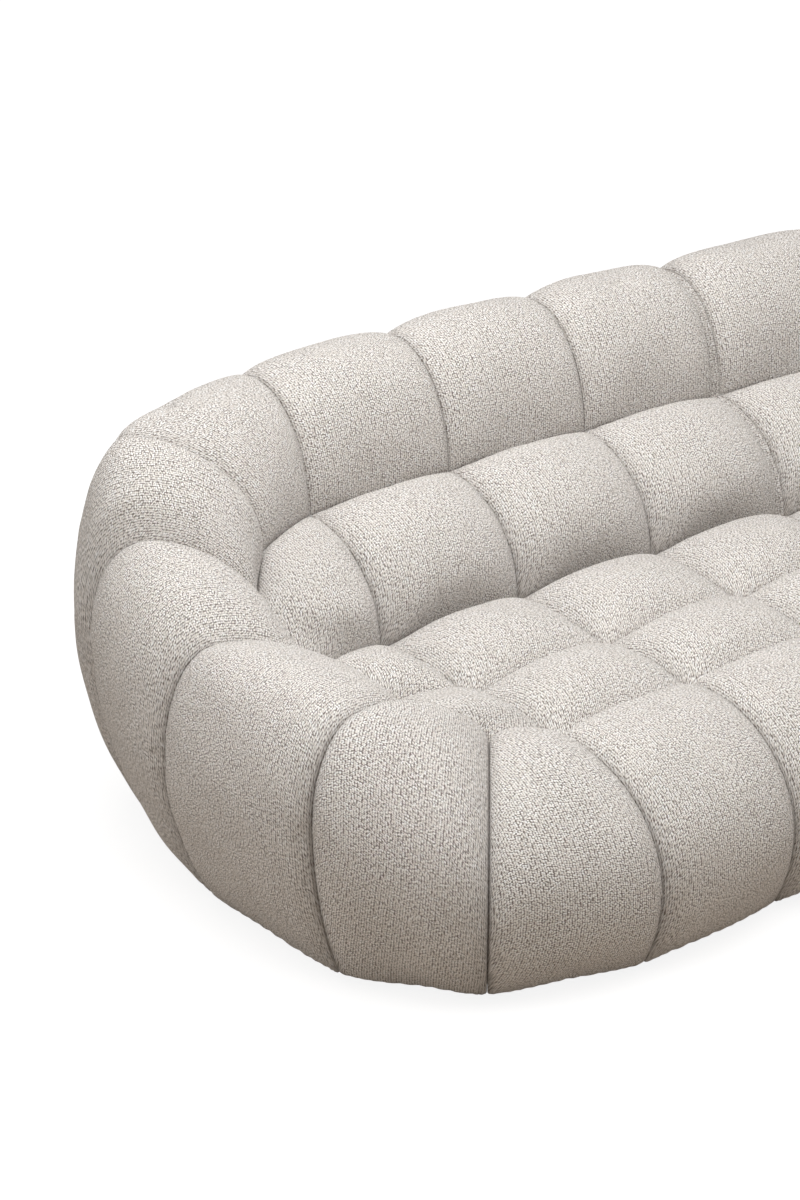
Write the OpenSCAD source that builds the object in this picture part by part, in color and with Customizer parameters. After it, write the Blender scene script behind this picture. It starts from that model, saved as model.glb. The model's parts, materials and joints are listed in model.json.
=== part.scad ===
// Curved sectional sofa with deep sewn tufts: a middle section between two rounded end sections.
// Lengths are in millimetres, +Z is up, the front faces -Y and the floor is at zero.

/* [Layout] */
// Width of a tuft column in an end section
col_w = 329; // [290:1:360]
// Width of a tuft column in the middle section
mid_col_w = 420; // [360:2:460]
// Width from the last column of an end section to the inside of its arm
corner_w = 202; // [180:2:220]
// Radius that the whole sofa curves along
sweep_r = 8000; // [7000:100:12000]
// Radius about which the seams between the columns of an end section fan
fan_r = 14300; // [12000:100:20000]

/* [Rows] */
// Depth of the lumbar roll row, from the upper back seam to the seat
lumbar_d = 203; // [190:1:240]
// Depth of the rear seat row
rear_row_d = 246; // [210:1:280]
// Depth of the front seat row
front_row_d = 223; // [190:1:260]
// Depth from the upper back seam to the outside of the back
back_d = 325; // [300:1:360]
// Depth from the front seat seam to the outside of the front
front_d = 258; // [240:1:300]

/* [Heights] */
// Height of the seams along the top of the back
back_z = 733; // [680:1:800]
// Height of the seam between the back and the lumbar roll
lumbar_z = 522; // [480:1:550]
// Height of the seams across the seat
seat_z = 334; // [320:1:360]
// Height of the sewn hem above the floor
hem_z = 15; // [12:0.5:20]

/* [Upholstery] */
// Rise of a back tuft over its seams
back_swell = 30; // [22:1:42]
// Rise of an arm tuft over its seams
arm_swell = 37; // [28:1:48]
// Rise of a seat tuft over its seams
seat_swell = 62; // [50:1:74]
// Depth of a tuft at its seams
pad_t = 40; // [34:1:44]
// Gap between two tufts along a seam
seam_gap = 0.6; // [0.5:0.1:1]
// Clearance between soft pieces and what carries them
soft_gap = 0.3; // [0.2:0.05:0.4]
// Thickness of the covered panel on a joint face
joint_t = 10; // [8:0.5:14]
// Gap between the faces of a joint
joint_gap = 1; // [0.6:0.1:2]
// Depth of a joint panel's edge below the seams
joint_drop = 2; // [1.5:0.1:4]

/* [Frame] */
// Thickness of the plywood boards
ply_t = 18; // [15:1:20]
// Thickness of the bent plywood behind the lumbar roll
bent_t = 8; // [6:0.5:10]
// Height of the rails that carry the seat above the base board
rail_h = 128; // [110:1:140]
// Width of a webbing strap
strap_w = 70; // [50:1:80]
// Thickness of a webbing strap
strap_t = 2; // [1.5:0.1:3]
// Extra drop of a rib below the foam
rib_drop = 12; // [11:0.5:14]
// Extra drop of the foam under the twisted tufts round an arm
twist_drop = 7; // [5:0.5:12]
// Thickness of the dust cover
dust_t = 1; // [0.8:0.1:1.5]

/* [Hardware] */
// Diameter of a glide
glide_d = 50; // [40:1:60]
// Height of a glide
glide_h = 24; // [22:1:30]
// Diameter of a glide screw
screw_d = 5; // [4:0.1:6]
// Length of a glide screw
screw_l = 34; // [30:1:38]
// Diameter of a locating pin
pin_d = 16; // [12:0.5:20]
// Reach of a locating pin past the joint face
pin_reach = 26; // [20:1:28]
// Clearance of a pin in its socket, on the radius
pin_gap = 0.4; // [0.3:0.05:0.6]
// Wall of a pin socket
socket_wall = 3; // [2:0.5:4]
// Width of a pin or socket flange
flange_w = 60; // [52:1:70]
// Thickness of a flange
flange_t = 4; // [3:0.5:6]
// Length of a flange screw
flange_screw_l = 16; // [14:1:18]
// Height of a screw head
head_h = 3; // [2.5:0.1:3.5]
// Clearance of a screw in its hole, on the radius
fit_gap = 0.1; // [0.05:0.05:0.2]

/* [Hidden] */
$fn = 48;
cloth_rgb = [0.69, 0.66, 0.62];
foam_rgb = [0.93, 0.88, 0.68];
ply_rgb = [0.80, 0.64, 0.43];
steel_rgb = [0.62, 0.63, 0.65];
dark_rgb = [0.10, 0.10, 0.11];

// Shares of a tuft's width at which its crown is given points
across_shares = [0, 0.1, 0.33, 0.67, 0.9, 1];
// Shares of a flat tuft's depth at which its crown is given points
along_shares = [0.001, 0.1, 0.3, 0.5, 0.7, 0.9, 0.999];
// Shares of the way from the inner seam of a ring tuft over its crest to the hem
over_shares = [0.0005, 0.05, 0.13, 0.22, 0.34, 0.46, 0.58, 0.72, 0.87, 1];
// Shares of that way at which the crest and the outermost point lie
crest_share = 0.3;
outer_share = 0.62;
// Share of a tuft at either end where its crown is shut down to the seam
end_share = 0.002;
// Speed at which a ring tuft rises from its inner seam, as shares of its crown to its way
foot_share = 1.26;
// Share of its swell that a ring tuft keeps at the hem
hem_share = 0.08;
// Power and root that shape the crown across a ring tuft and across a seat tuft
ring_crown = [2.5, 0.5];
seat_crown = [2.3, 0.64];
// Power that shapes the fall of a ring tuft's crown towards the hem
hem_power = 2.2;
// Share of a seam's way over which its direction is measured
step_share = 0.004;
// Share of a tuft over which its crown turns from the seam to its own face
turn_share = 0.45;

// Shares that place the back seams: crest, outermost point and foot, then their heights
back_crest_share = 0.46;
back_foot_share = 0.86;
back_outer_share = 0.445;
// Shares that place the front seams, in the same order
front_crest_share = 0.2;
front_foot_share = 0.86;
front_outer_share = 0.5;
front_rise_share = 0.03;
// How far tufts lean inwards beside the front seams, the back seams and the fold between the
// lumbar roll and the seat, as shares of their rise
front_lean_share = 0.16;
back_lean_share = 0.2;
fold_lean_share = 0.1;

// The five seams of the arm, from the back corner round to the front corner
arm_x_shares = [0.76, 1.15, 1.015, 0.84, 0.35];
arm_y_shares = [0.125, 0.26, 0.49, 0.86, 0.95];
arm_heading_angles = [135, 140, 169, 197, 234];
arm_inner_z_shares = [0.99, 0.48, 0.01, 0.07, 0.02];
arm_crest_z_shares = [0.945, 0.605, 0.35, 0.325, 0.09];
arm_crest_d_shares = [0.7, 0.52, 0.55, 0.53, 0.175];
arm_outer_d_shares = [0.92, 0.8, 0.81, 0.82, 0.88];
arm_outer_z_shares = [1.12, 1.34, 0.89, 0.965, 0.58];
arm_foot_d_shares = [0.67, 0.465, 0.59, 0.63, 0.715];
arm_wall_shares = [1, 1, 0, 0, 0];
arm_lean_shares = [0.2, 0.2, 0.6, 0.6, 0.3];
// Where the lumbar row's last seam and the seat's cross seam end on the arm, as shares of the
// way from the second arm seam to the third and from the third to the fourth
nook_share = 0.7;
side_share = 0.3;
// Swell of the lumbar tufts as a share of the seat's
roll_share = 0.86;

// Share of a joint rib's reach at which a pin stands, and of the rail's height
pin_back_share = 0.5;
pin_front_share = 0.42;
pin_height_share = 0.6;
flange_hole_share = 0.36;
// Shares of a rib's width that place and size its lightening hole
rib_high_share = 0.75;
rib_hole_share = 0.42;
// Places of the glides, counted in seams along the ring of a section
end_glide_shares = [0.2, 2.6, 5.3, 8.2, 11.8];
mid_glide_shares = [0.2, 1.8];
glide_foot_share = 0.88;

joint_angle = asin(mid_col_w / sweep_r);
seat_d = lumbar_d + rear_row_d + front_row_d;
seat_in_z = seat_z - pad_t;
base_z = glide_h;
base_top = base_z + ply_t;
deck_z = base_top + rail_h;
foam_in = pad_t + soft_gap;
rib_in = foam_in + rib_drop;
half_gap = seam_gap / 2;
nu = len(across_shares) - 1;

function unit(v) = v / norm(v);
function lerp(a, b, t) = a + (b - a) * t;
function ease(t) = let (c = max(0, min(1, t))) c * c * (3 - 2 * c);
function crown(t, form) = pow(max(0, 1 - pow(abs(2 * t - 1), form[0])), form[1]);
function heading(a) = [cos(a), sin(a), 0];
function up() = [0, 0, 1];
function flat_xy(p) = [p.x, p.y];

// A ring seam lies in an upright plane: its start, the plane's heading, its crest, outermost
// point and foot as distances along that heading with their heights, whether it starts on a
// wall, and how far the tufts beside its start lean inwards.
function seam(start, a, crest_d, crest_z, outer_d, outer_z, foot_d, wall, lean) =
    [start, a, crest_d, crest_z, outer_d, outer_z, foot_d, wall, lean];
function seam_at(s, d, z) = [s[0].x, s[0].y, 0] + heading(s[1]) * d + up() * z;

// Distance and height along a seam for a share of its way, sunk below the cover by depth
function seam_start_z(s, depth) = s[7] > 0 ? s[0].z - depth
    : lerp(s[0].z, seat_in_z, depth / pad_t);
function seam_d(s, v, depth, start_d) =
    v <= crest_share ? lerp(start_d, s[2], 1 - cos(90 * v / crest_share))
    : v <= outer_share ? s[2] + (s[4] - depth - s[2])
        * sin(90 * (v - crest_share) / (outer_share - crest_share))
    : s[4] - depth - (s[4] - s[6]) * pow((v - outer_share) / (1 - outer_share), 2);
function seam_h(s, v, depth) =
    v <= crest_share
    ? lerp(seam_start_z(s, depth), s[3] - depth, sin(90 * v / crest_share))
    : v <= outer_share ? s[5] + (s[3] - depth - s[5])
        * cos(90 * (v - crest_share) / (outer_share - crest_share))
    : lerp(s[5], hem_z, (v - outer_share) / (1 - outer_share));
function seam_pt(s, v, depth) =
    seam_at(s, seam_d(s, v, depth, half_gap), seam_h(s, v, depth));
function seam_out(s, v) = let (
        a = seam_pt(s, max(0, v - step_share), 0),
        b = seam_pt(s, min(1, v + step_share), 0),
        t = unit(b - a))
    unit(cross(t, cross(up(), heading(s[1]))));
function seam_lean(s) = unit(up() - heading(s[1]) * s[8]);
function seam_back_start(s) = s[7] > 0 ? 2 * soft_gap + bent_t : soft_gap;
// The start of a ring seam as the tufts inside the ring meet it
function inner_start(s) = seam_at(s, -half_gap, s[0].z);

// A column line: where it crosses the upper back seam, and its heading to the back
function col_start(c) = [-c, -c * c / (2 * sweep_r), 0];
function col_at(c, turn, r, z) = col_start(c) + heading(90 + turn) * r + up() * z;
function back_seam(c, turn) = seam(col_at(c, turn, 0, lumbar_z), 90 + turn,
    back_d * back_crest_share, back_z, back_d, back_z * back_outer_share,
    back_d * back_foot_share, 1, back_lean_share);
function front_seam(c, turn) = seam(col_at(c, turn, -seat_d, seat_z), 270 + turn,
    front_d * front_crest_share, seat_z * (1 + front_rise_share), front_d,
    seat_z * front_outer_share, front_d * front_foot_share, 0, front_lean_share);
function end_turn(c) = atan((c - joint_t) / fan_r);
function mid_turn(c) = joint_angle * c / (mid_col_w - joint_t);

end_cols = [joint_t, col_w, 2 * col_w, 3 * col_w];
mid_cols = [joint_t - mid_col_w, 0, mid_col_w - joint_t];
last_c = end_cols[3];
function arm_seam(k) = seam(
    [-last_c - arm_x_shares[k] * corner_w,
        col_start(last_c).y - arm_y_shares[k] * seat_d,
        lerp(seat_z, lumbar_z, arm_inner_z_shares[k])],
    arm_heading_angles[k],
    arm_crest_d_shares[k] * back_d,
    lerp(seat_z, back_z, arm_crest_z_shares[k]),
    arm_outer_d_shares[k] * back_d,
    arm_outer_z_shares[k] * seat_z,
    arm_foot_d_shares[k] * back_d,
    arm_wall_shares[k],
    arm_lean_shares[k]);
arms = [for (k = [0:4]) arm_seam(k)];
arm_starts = [for (s = arms) inner_start(s)];
arm_leans = [for (s = arms) seam_lean(s)];
nook = lerp(arm_starts[1], arm_starts[2], nook_share);
nook_lean = unit(lerp(arm_leans[1], arm_leans[2], nook_share));
side_end = lerp(arm_starts[2], arm_starts[3], side_share);
side_lean = unit(lerp(arm_leans[2], arm_leans[3], side_share));

end_back = [for (c = end_cols) back_seam(c, end_turn(c))];
end_front = [for (k = [3:-1:0]) front_seam(end_cols[k], end_turn(end_cols[k]))];
end_ring = concat(end_back, arms, end_front);
mid_back = [for (c = mid_cols) back_seam(c, mid_turn(c))];
mid_front = [for (k = [2:-1:0]) front_seam(mid_cols[k], mid_turn(mid_cols[k]))];

// A tuft's edge: its points on the cover, the points below them and the way the seam faces
function edge(top, low, out) = [top, low, out];
function ring_edge(s) = edge(
    [for (v = over_shares) seam_pt(s, v, 0)],
    [for (v = over_shares) seam_pt(s, v, pad_t)],
    [for (v = over_shares) seam_out(s, v)]);
function drop(p) = [p.x, p.y, seat_in_z];
function flat_edge(p, q, lean_p, lean_q) = edge(
    [for (v = along_shares) lerp(p, q, v)],
    [for (v = along_shares) drop(lerp(p, q, v))],
    [for (v = along_shares) unit(lerp(lean_p, lean_q, v))]);
function roll_pt(p, q, v) = let (w = 90 * v)
    [lerp(p.x, q.x, sin(w)), lerp(p.y, q.y, sin(w)), lerp(p.z, q.z, 1 - cos(w))];
function heel_path(back, heel, foot, v) = v < 0.5
    ? lerp(back, heel, 2 * v)
    : lerp(heel, foot, 2 * v - 1);
function roll_edge(s, q) = let (p = inner_start(s), back = p - up() * pad_t) edge(
    [for (v = along_shares) roll_pt(p, q, v)],
    [for (v = along_shares) heel_path(back, drop(back), drop(q), v)],
    [for (v = along_shares) unit(lerp(up(), unit(flat3(q - p)), v))]);
function flat3(v) = [v.x, v.y, 0];
function bent_line(p, q, w) = [for (v = along_shares)
    v < 0.5 ? lerp(p, q, 2 * v) : lerp(q, w, 2 * v - 1)];
function bent_leans(p, q, w) = [for (lean = bent_line(p, q, w)) unit(lean)];
function bent_edge(p, q, w, leans) =
    edge(bent_line(p, q, w), bent_line(drop(p), drop(q), drop(w)), leans);
function side_edge(p, q, w, leans) =
    edge(bent_line(p, q, w), bent_line(p - up() * pad_t, drop(q), drop(w)), leans);

// The crowned face of a tuft between edges a and b, as rows of points
function tuft_pt(a, b, first, last, ways, swells, form, i, j) = let (
        g = half_gap / norm(b[0][j] - a[0][j]),
        share = across_shares[i],
        u = lerp(g, 1 - g, share),
        v = ways[j],
        n = len(ways) - 1,
        j0 = max(0, j - 1),
        j1 = min(n, j + 1),
        base = lerp(a[0][j], b[0][j], u),
        along = lerp(a[0][j1], b[0][j1], u) - lerp(a[0][j0], b[0][j0], u),
        face = unit(cross(b[0][j] - a[0][j], along)),
        wa = 1 - ease(share / turn_share),
        wb = 1 - ease((1 - share) / turn_share),
        wc = len(first) == 0 ? 0 : 1 - ease(v / turn_share),
        wd = len(last) == 0 ? 0 : 1 - ease((1 - v) / turn_share),
        oc = wc == 0 ? up() : lerp(first[0], first[1], u),
        od = wd == 0 ? up() : lerp(last[0], last[1], u),
        own = 1 - max(wa, wb, wc, wd),
        way = unit(a[2][j] * wa + b[2][j] * wb + oc * wc + od * wd + face * own))
    base + way * swells[j] * crown(share, form);
function tuft_top(t) = [for (j = [0:len(t[4]) - 1], i = [0:nu])
    tuft_pt(t[0], t[1], t[2], t[3], t[4], t[5], t[6], i, j)];
function tuft_low(a, b, far) = [for (j = [0:len(a[1]) - 1])
    let (g = half_gap / norm(b[1][j] - a[1][j])) lerp(a[1][j], b[1][j], far ? 1 - g : g)];

// A tuft as [edge a, edge b, leans of its first seam, leans of its last, ways, swells, crown]
function closed(v) = v < end_share ? 0 : v > 1 - end_share ? 1 : v;
flat_swells = [for (v = along_shares) seat_swell * crown(closed(v), seat_crown)];
function ring_swells(swell) = [for (v = over_shares)
    swell * crown(min(0.5, foot_share * closed(v)), ring_crown)
    * (1 - (1 - hem_share) * pow(max(0, v - outer_share) / (1 - outer_share), hem_power))];
function ring_tuft(s, t, swell) = [ring_edge(t), ring_edge(s),
    [seam_lean(t), seam_lean(s)], [], over_shares, ring_swells(swell), ring_crown];
function flat_tuft(a, b, first, last, swell) =
    [a, b, first, last, along_shares, flat_swells * (swell / seat_swell), seat_crown];

module tuft(t) {
    n = len(t[4]) - 1;
    w = nu + 1;
    top = tuft_top(t);
    low_a = tuft_low(t[0], t[1], false);
    low_b = tuft_low(t[0], t[1], true);
    la = w * (n + 1);
    lb = la + n + 1;
    polyhedron(concat(top, low_a, low_b), concat(
        [for (j = [0:n - 1], i = [0:nu - 1]) let (p = j * w + i) each
            [[p, p + w, p + 1], [p + 1, p + w, p + w + 1]]],
        [for (j = [0:n - 1]) let (p = j * w, q = la + j) each
            [[p, q, p + w], [q, q + 1, p + w]]],
        [for (j = [0:n - 1]) let (p = j * w + nu, q = lb + j) each
            [[p, p + w, q], [q, p + w, q + 1]]],
        [for (j = [0:n - 1]) let (p = la + j, q = lb + j) each
            [[p, q, p + 1], [q, q + 1, p + 1]]],
        [for (i = [0:nu - 1]) [i, i + 1, la]],
        [[nu, lb, la]],
        [for (i = [0:nu - 1]) [n * w + i + 1, n * w + i, la + n]],
        [[n * w + nu, la + n, lb + n]]), convexity = 6);
}

// Tufts of the columns
function col_seam_pt(c, turn, r) = col_at(c, turn, r, seat_z);
ms_r = -lumbar_d;
st_r = -lumbar_d - rear_row_d;
function fold_lean(turn) = unit(up() - heading(90 + turn) * fold_lean_share);
function lumbar_tuft(c, d, tc, td) = flat_tuft(
    roll_edge(back_seam(c, tc), col_seam_pt(c, tc, ms_r)),
    roll_edge(back_seam(d, td), col_seam_pt(d, td, ms_r)),
    [seam_lean(back_seam(c, tc)), seam_lean(back_seam(d, td))],
    [fold_lean(tc), fold_lean(td)], seat_swell * roll_share);
function rear_tuft(c, d, tc, td) = flat_tuft(
    flat_edge(col_seam_pt(c, tc, ms_r), col_seam_pt(c, tc, st_r), up(), up()),
    flat_edge(col_seam_pt(d, td, ms_r), col_seam_pt(d, td, st_r), up(), up()),
    [fold_lean(tc), fold_lean(td)], [up(), up()], seat_swell);
function front_tuft(c, d, tc, td) = flat_tuft(
    flat_edge(col_seam_pt(c, tc, st_r), col_seam_pt(c, tc, -seat_d), up(), up()),
    flat_edge(col_seam_pt(d, td, st_r), col_seam_pt(d, td, -seat_d), up(), up()),
    [up(), up()], [seam_lean(front_seam(c, tc)), seam_lean(front_seam(d, td))], seat_swell);

// The tufts of each row
function pairs(cols) = [for (k = [0:len(cols) - 2]) [cols[k], cols[k + 1]]];
mid_crest = [for (k = [0:1]) ring_tuft(mid_back[k], mid_back[k + 1], back_swell)];
mid_edge = [for (k = [0:1]) ring_tuft(mid_front[k], mid_front[k + 1], back_swell)];
mid_lumbar = [for (p = pairs(mid_cols)) lumbar_tuft(p[0], p[1], mid_turn(p[0]), mid_turn(p[1]))];
mid_rear = [for (p = pairs(mid_cols)) rear_tuft(p[0], p[1], mid_turn(p[0]), mid_turn(p[1]))];
mid_seat = [for (p = pairs(mid_cols)) front_tuft(p[0], p[1], mid_turn(p[0]), mid_turn(p[1]))];

end_crest = [for (k = [0:3]) ring_tuft(end_ring[k], end_ring[k + 1], back_swell)];
end_arm = [for (k = [4:7]) ring_tuft(end_ring[k], end_ring[k + 1], arm_swell)];
end_edge = [for (k = [8:11]) ring_tuft(end_ring[k], end_ring[k + 1], back_swell)];
last_turn = end_turn(last_c);
ms_last = col_seam_pt(last_c, last_turn, ms_r);
st_last = col_seam_pt(last_c, last_turn, st_r);
tf_last = col_seam_pt(last_c, last_turn, -seat_d);
end_lumbar = concat(
    [for (p = pairs(end_cols)) lumbar_tuft(p[0], p[1], end_turn(p[0]), end_turn(p[1]))],
    [flat_tuft(roll_edge(end_back[3], ms_last),
        side_edge(arm_starts[0], arm_starts[1], nook,
            bent_leans(arm_leans[0], arm_leans[1], nook_lean)),
        [seam_lean(end_back[3]), arm_leans[0]], [fold_lean(last_turn), nook_lean],
        seat_swell * roll_share)]);
end_rear = concat(
    [for (p = pairs(end_cols)) rear_tuft(p[0], p[1], end_turn(p[0]), end_turn(p[1]))],
    [flat_tuft(flat_edge(ms_last, st_last, up(), up()),
        bent_edge(nook, arm_starts[2], side_end, bent_leans(nook_lean, arm_leans[2], side_lean)),
        [fold_lean(last_turn), nook_lean], [up(), side_lean], seat_swell)]);
end_seat = concat(
    [for (p = pairs(end_cols)) front_tuft(p[0], p[1], end_turn(p[0]), end_turn(p[1]))],
    [flat_tuft(flat_edge(st_last, tf_last, up(), up()),
        bent_edge(side_end, arm_starts[3], arm_starts[4],
            bent_leans(side_lean, arm_leans[3], arm_leans[4])),
        [up(), side_lean], [seam_lean(end_front[0]), arm_leans[4]], seat_swell)]);

// Places of the sections: the middle one stands on the centre line, the ends turn to its joints
joint_at = col_start(mid_col_w - joint_t) + heading(180 + joint_angle) * joint_t;
function to_left(p) = [
    joint_at.x + p.x * cos(joint_angle) - p.y * sin(joint_angle),
    joint_at.y + p.x * sin(joint_angle) + p.y * cos(joint_angle),
    p.z];
function tuft_points(tufts) = [for (t = tufts) each tuft_top(t)];
reach_y = concat([for (p = tuft_points(mid_crest)) p.y], [for (p = tuft_points(mid_edge)) p.y],
    [for (p = tuft_points(concat(end_crest, end_arm, end_edge))) to_left(p).y]);
centre_y = (max(reach_y) + min(reach_y)) / 2;
module in_middle() { translate([0, -centre_y, 0]) children(); }
module on_left() {
    translate([joint_at.x, joint_at.y - centre_y, 0]) rotate([0, 0, joint_angle]) children();
}
module on_right() { mirror([1, 0, 0]) on_left() children(); }

// Upright outline of a ring seam's inside, from its start over the crest to the base board
function cut_at(p, q, z) = lerp(p, q, (z - p.y) / (q.y - p.y));
function bay_shape(s, depth) = let (
        start = seam_back_start(s) + depth - foam_in,
        way = [for (v = over_shares) [seam_d(s, v, depth, start), seam_h(s, v, depth)]],
        n = len([for (p = way) if (p.y > base_top) p]))
    concat([[start, base_top]], [for (k = [0:n - 1]) way[k]],
        [cut_at(way[n - 1], way[n], base_top) - [depth - foam_in, 0]]);
function bay_points(s, depth) = [for (p = bay_shape(s, depth)) seam_at(s, p.x, p.y)];

// Where the locating pins stand in a joint rib, as distance along its seam and height
function pin_place(s) = [s[4] * (s[7] > 0 ? pin_back_share : pin_front_share),
    base_top + rail_h * pin_height_share];
module flange_marks() {
    for (x = [-1, 1], y = [-1, 1]) translate([x, y] * flange_w * flange_hole_share)
        circle(d = screw_d + 2 * fit_gap);
}

// A rib: an upright plywood board under a seam, with a round lightening hole, or in a joint
// with the holes of a locating pin or of its socket
module rib(s, side, hole_d) {
    shape = bay_shape(s, rib_in);
    wide = s[6] - rib_in - shape[0].x;
    shift = side * (ply_t / 2 + soft_gap);
    translate([s[0].x, s[0].y, 0]) rotate([90, 0, s[1]]) translate([0, 0, shift - ply_t / 2])
        linear_extrude(ply_t) difference() {
            polygon(shape);
            if (side == 0) translate([shape[0].x + wide / 2, base_top + wide * rib_high_share])
                circle(d = wide * rib_hole_share);
            if (side != 0) translate(pin_place(s)) {
                circle(d = hole_d);
                flange_marks();
            }
        }
}
module ribs(ring, sides, hole_d) {
    for (k = [0:len(ring) - 1]) rib(ring[k], sides[k], hole_d);
}

// Foam between two ribs, lofted from one seam's outline to the next
function off_plane(p, s) = abs(cross2(p - s[0], heading(s[1])));
function clear_share(pts, s, room) = room / min([for (p = pts) off_plane(p, s)]);
module foam_bay(s, t, room_s, room_t, drop) {
    a = bay_points(s, foam_in + drop);
    b = bay_points(t, foam_in + drop);
    near = clear_share(b, s, room_s);
    far = 1 - clear_share(a, t, room_t);
    n = len(a);
    polyhedron(concat([for (k = [0:n - 1]) lerp(a[k], b[k], near)],
        [for (k = [0:n - 1]) lerp(a[k], b[k], far)]), concat(
        [for (k = [0:n - 1]) let (m = (k + 1) % n) each [[k, k + n, m + n], [k, m + n, m]]],
        [for (k = [1:n - 2]) [0, k, k + 1]],
        [for (k = [1:n - 2]) [n, n + k + 1, n + k]]), convexity = 4);
}
rib_room = ply_t / 2 + soft_gap;
joint_room = ply_t + flange_t + screw_d + 3 * soft_gap;
module foam_bays(ring, first, last, drop) {
    end = len(ring) - 1;
    for (k = [first:last]) foam_bay(ring[k], ring[k + 1],
        k == 0 ? joint_room : rib_room, k + 1 == end ? joint_room : rib_room, drop);
}

// Plan of the seat well, from the joint along the back, round the arm and back along the front
function cross2(a, b) = a.x * b.y - a.y * b.x;
function plan_start(s) = flat_xy(s[0]);
end_well = [for (s = end_ring) plan_start(s)];
mid_well = [for (s = concat(mid_back, mid_front)) plan_start(s)];
function inset(pts, d) = let (n = len(pts)) [for (k = [0:n - 1]) let (
        a = unit(pts[k] - pts[(k + n - 1) % n]),
        b = unit(pts[(k + 1) % n] - pts[k]),
        na = [-a.y, a.x],
        m = unit(na + [-b.y, b.x]))
    pts[k] + m * (d / (m * na))];

// Plywood rails on edge round the seat well, one board to each side
module rails(well) {
    out = inset(well, half_gap + soft_gap);
    low = inset(well, half_gap + soft_gap + ply_t);
    n = len(well);
    translate([0, 0, base_top]) for (k = [0:n - 1]) let (m = (k + 1) % n)
        linear_extrude(rail_h) polygon([out[k], out[m], low[m], low[k]]);
}

// Elastic straps from the front rail to the back rail
module straps(well, cols, spread) {
    translate([0, 0, deck_z]) linear_extrude(strap_t) intersection() {
        polygon(inset(well, 2 * soft_gap));
        for (c = cols, side = [-1, 1])
            translate([-c - strap_w / 2 + side * spread / 4, -2 * seat_d])
                square([strap_w, 3 * seat_d]);
    }
}

module seat_block(well) {
    translate([0, 0, deck_z + strap_t])
        linear_extrude(seat_in_z - soft_gap - deck_z - strap_t) polygon(inset(well, half_gap + soft_gap));
}

// Plan of the base board: it runs from foot to foot just inside the tufts
function foot_in(s, back) = seam_at(s, s[6] - foam_in - soft_gap - back, 0);
function foot_plan(ring) = [for (s = ring) flat_xy(foot_in(s, 0))];
function glide_pt(ring, way) = let (k = floor(way))
    lerp(foot_in(ring[k], glide_d), foot_in(ring[min(k + 1, len(ring) - 1)], glide_d), way - k);
end_glides = [for (way = end_glide_shares) glide_pt(end_ring, way)];
mid_glides = concat([for (way = mid_glide_shares) glide_pt(mid_back, way)],
    [for (way = mid_glide_shares) glide_pt(mid_front, way)]);

module board(plan, places) {
    translate([0, 0, base_z]) linear_extrude(ply_t) difference() {
        polygon(inset(plan, soft_gap));
        for (p = places) translate([p.x, p.y]) circle(d = screw_d + 2 * fit_gap);
    }
}
module dust_sheet(plan, places) {
    translate([0, 0, base_z - dust_t]) linear_extrude(dust_t) difference() {
        polygon(inset(plan, soft_gap));
        for (p = places) translate([p.x, p.y]) circle(d = glide_d + 4 * fit_gap);
    }
}
module glide() {
    difference() {
        cylinder(d1 = glide_d * glide_foot_share, d2 = glide_d, h = glide_h);
        translate([0, 0, -head_h]) cylinder(d = screw_d + 2 * fit_gap, h = 2 * glide_h);
        translate([0, 0, -head_h]) cylinder(d = 3 * screw_d, h = 3 * head_h);
    }
}
module screw(length) {
    translate([0, 0, -head_h]) cylinder(d = 2 * screw_d, h = head_h);
    cylinder(d = screw_d, h = length);
}
module glides(places) {
    for (p = places) translate([p.x, p.y, 0]) glide();
}
module glide_screws(places) {
    for (p = places) translate([p.x, p.y, 2 * head_h]) screw(screw_l);
}

// Bent plywood behind the lumbar roll, standing on the base board along the seams
module bent_panel(seams, top) {
    near = [for (s = seams) flat_xy(seam_at(s, soft_gap, 0))];
    far = [for (k = [len(seams) - 1:-1:0]) flat_xy(seam_at(seams[k], soft_gap + bent_t, 0))];
    translate([0, 0, base_top]) linear_extrude(top - pad_t - soft_gap - base_top)
        polygon(concat(near, far));
}

// Covered panel on a joint face: the whole outline of the section, a little below its seams
back_cut = back_seam(0, 0);
front_cut = front_seam(0, 0);
joint_shape = concat(
    [for (k = [len(over_shares) - 1:-1:0]) let (v = over_shares[k])
        [seam_d(back_cut, v, joint_drop, 0), seam_h(back_cut, v, joint_drop)]],
    [for (v = along_shares) [-lumbar_d * sin(90 * v) - joint_drop * (1 - v),
        lerp(lumbar_z, seat_z, 1 - cos(90 * v)) - joint_drop]],
    [for (v = over_shares) [-seat_d - seam_d(front_cut, v, joint_drop, 0),
        seam_h(front_cut, v, joint_drop)]]);
module at_pins() {
    for (s = [back_cut, front_cut]) let (p = pin_place(s), way = s[7] > 0 ? 1 : -1)
        translate([0, s[0].y + way * p.x, p.y]) rotate([0, 90, 0]) children();
}
module joint_panel(low, high, hole_d) {
    difference() {
        translate([low, 0, 0]) rotate([90, 0, 90]) linear_extrude(high - low)
            polygon(joint_shape);
        translate([low - joint_t, 0, 0]) at_pins() cylinder(d = hole_d, h = 4 * joint_t);
    }
}
rib_face = joint_t + soft_gap + ply_t;
socket_bore = pin_d + 2 * pin_gap;
socket_d = socket_bore + 2 * socket_wall;
pin_hole = pin_d + 2 * fit_gap;
socket_hole = socket_d + 2 * fit_gap;
module flange_plate(bore_d) {
    linear_extrude(flange_t) difference() {
        square(flange_w, center = true);
        circle(d = bore_d);
        flange_marks();
    }
}
module locating_pins() {
    at_pins() {
        translate([0, 0, -rib_face - flange_t]) flange_plate(pin_d);
        translate([0, 0, -rib_face - flange_t])
            cylinder(d = pin_d, h = rib_face + flange_t + pin_reach);
    }
}
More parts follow.
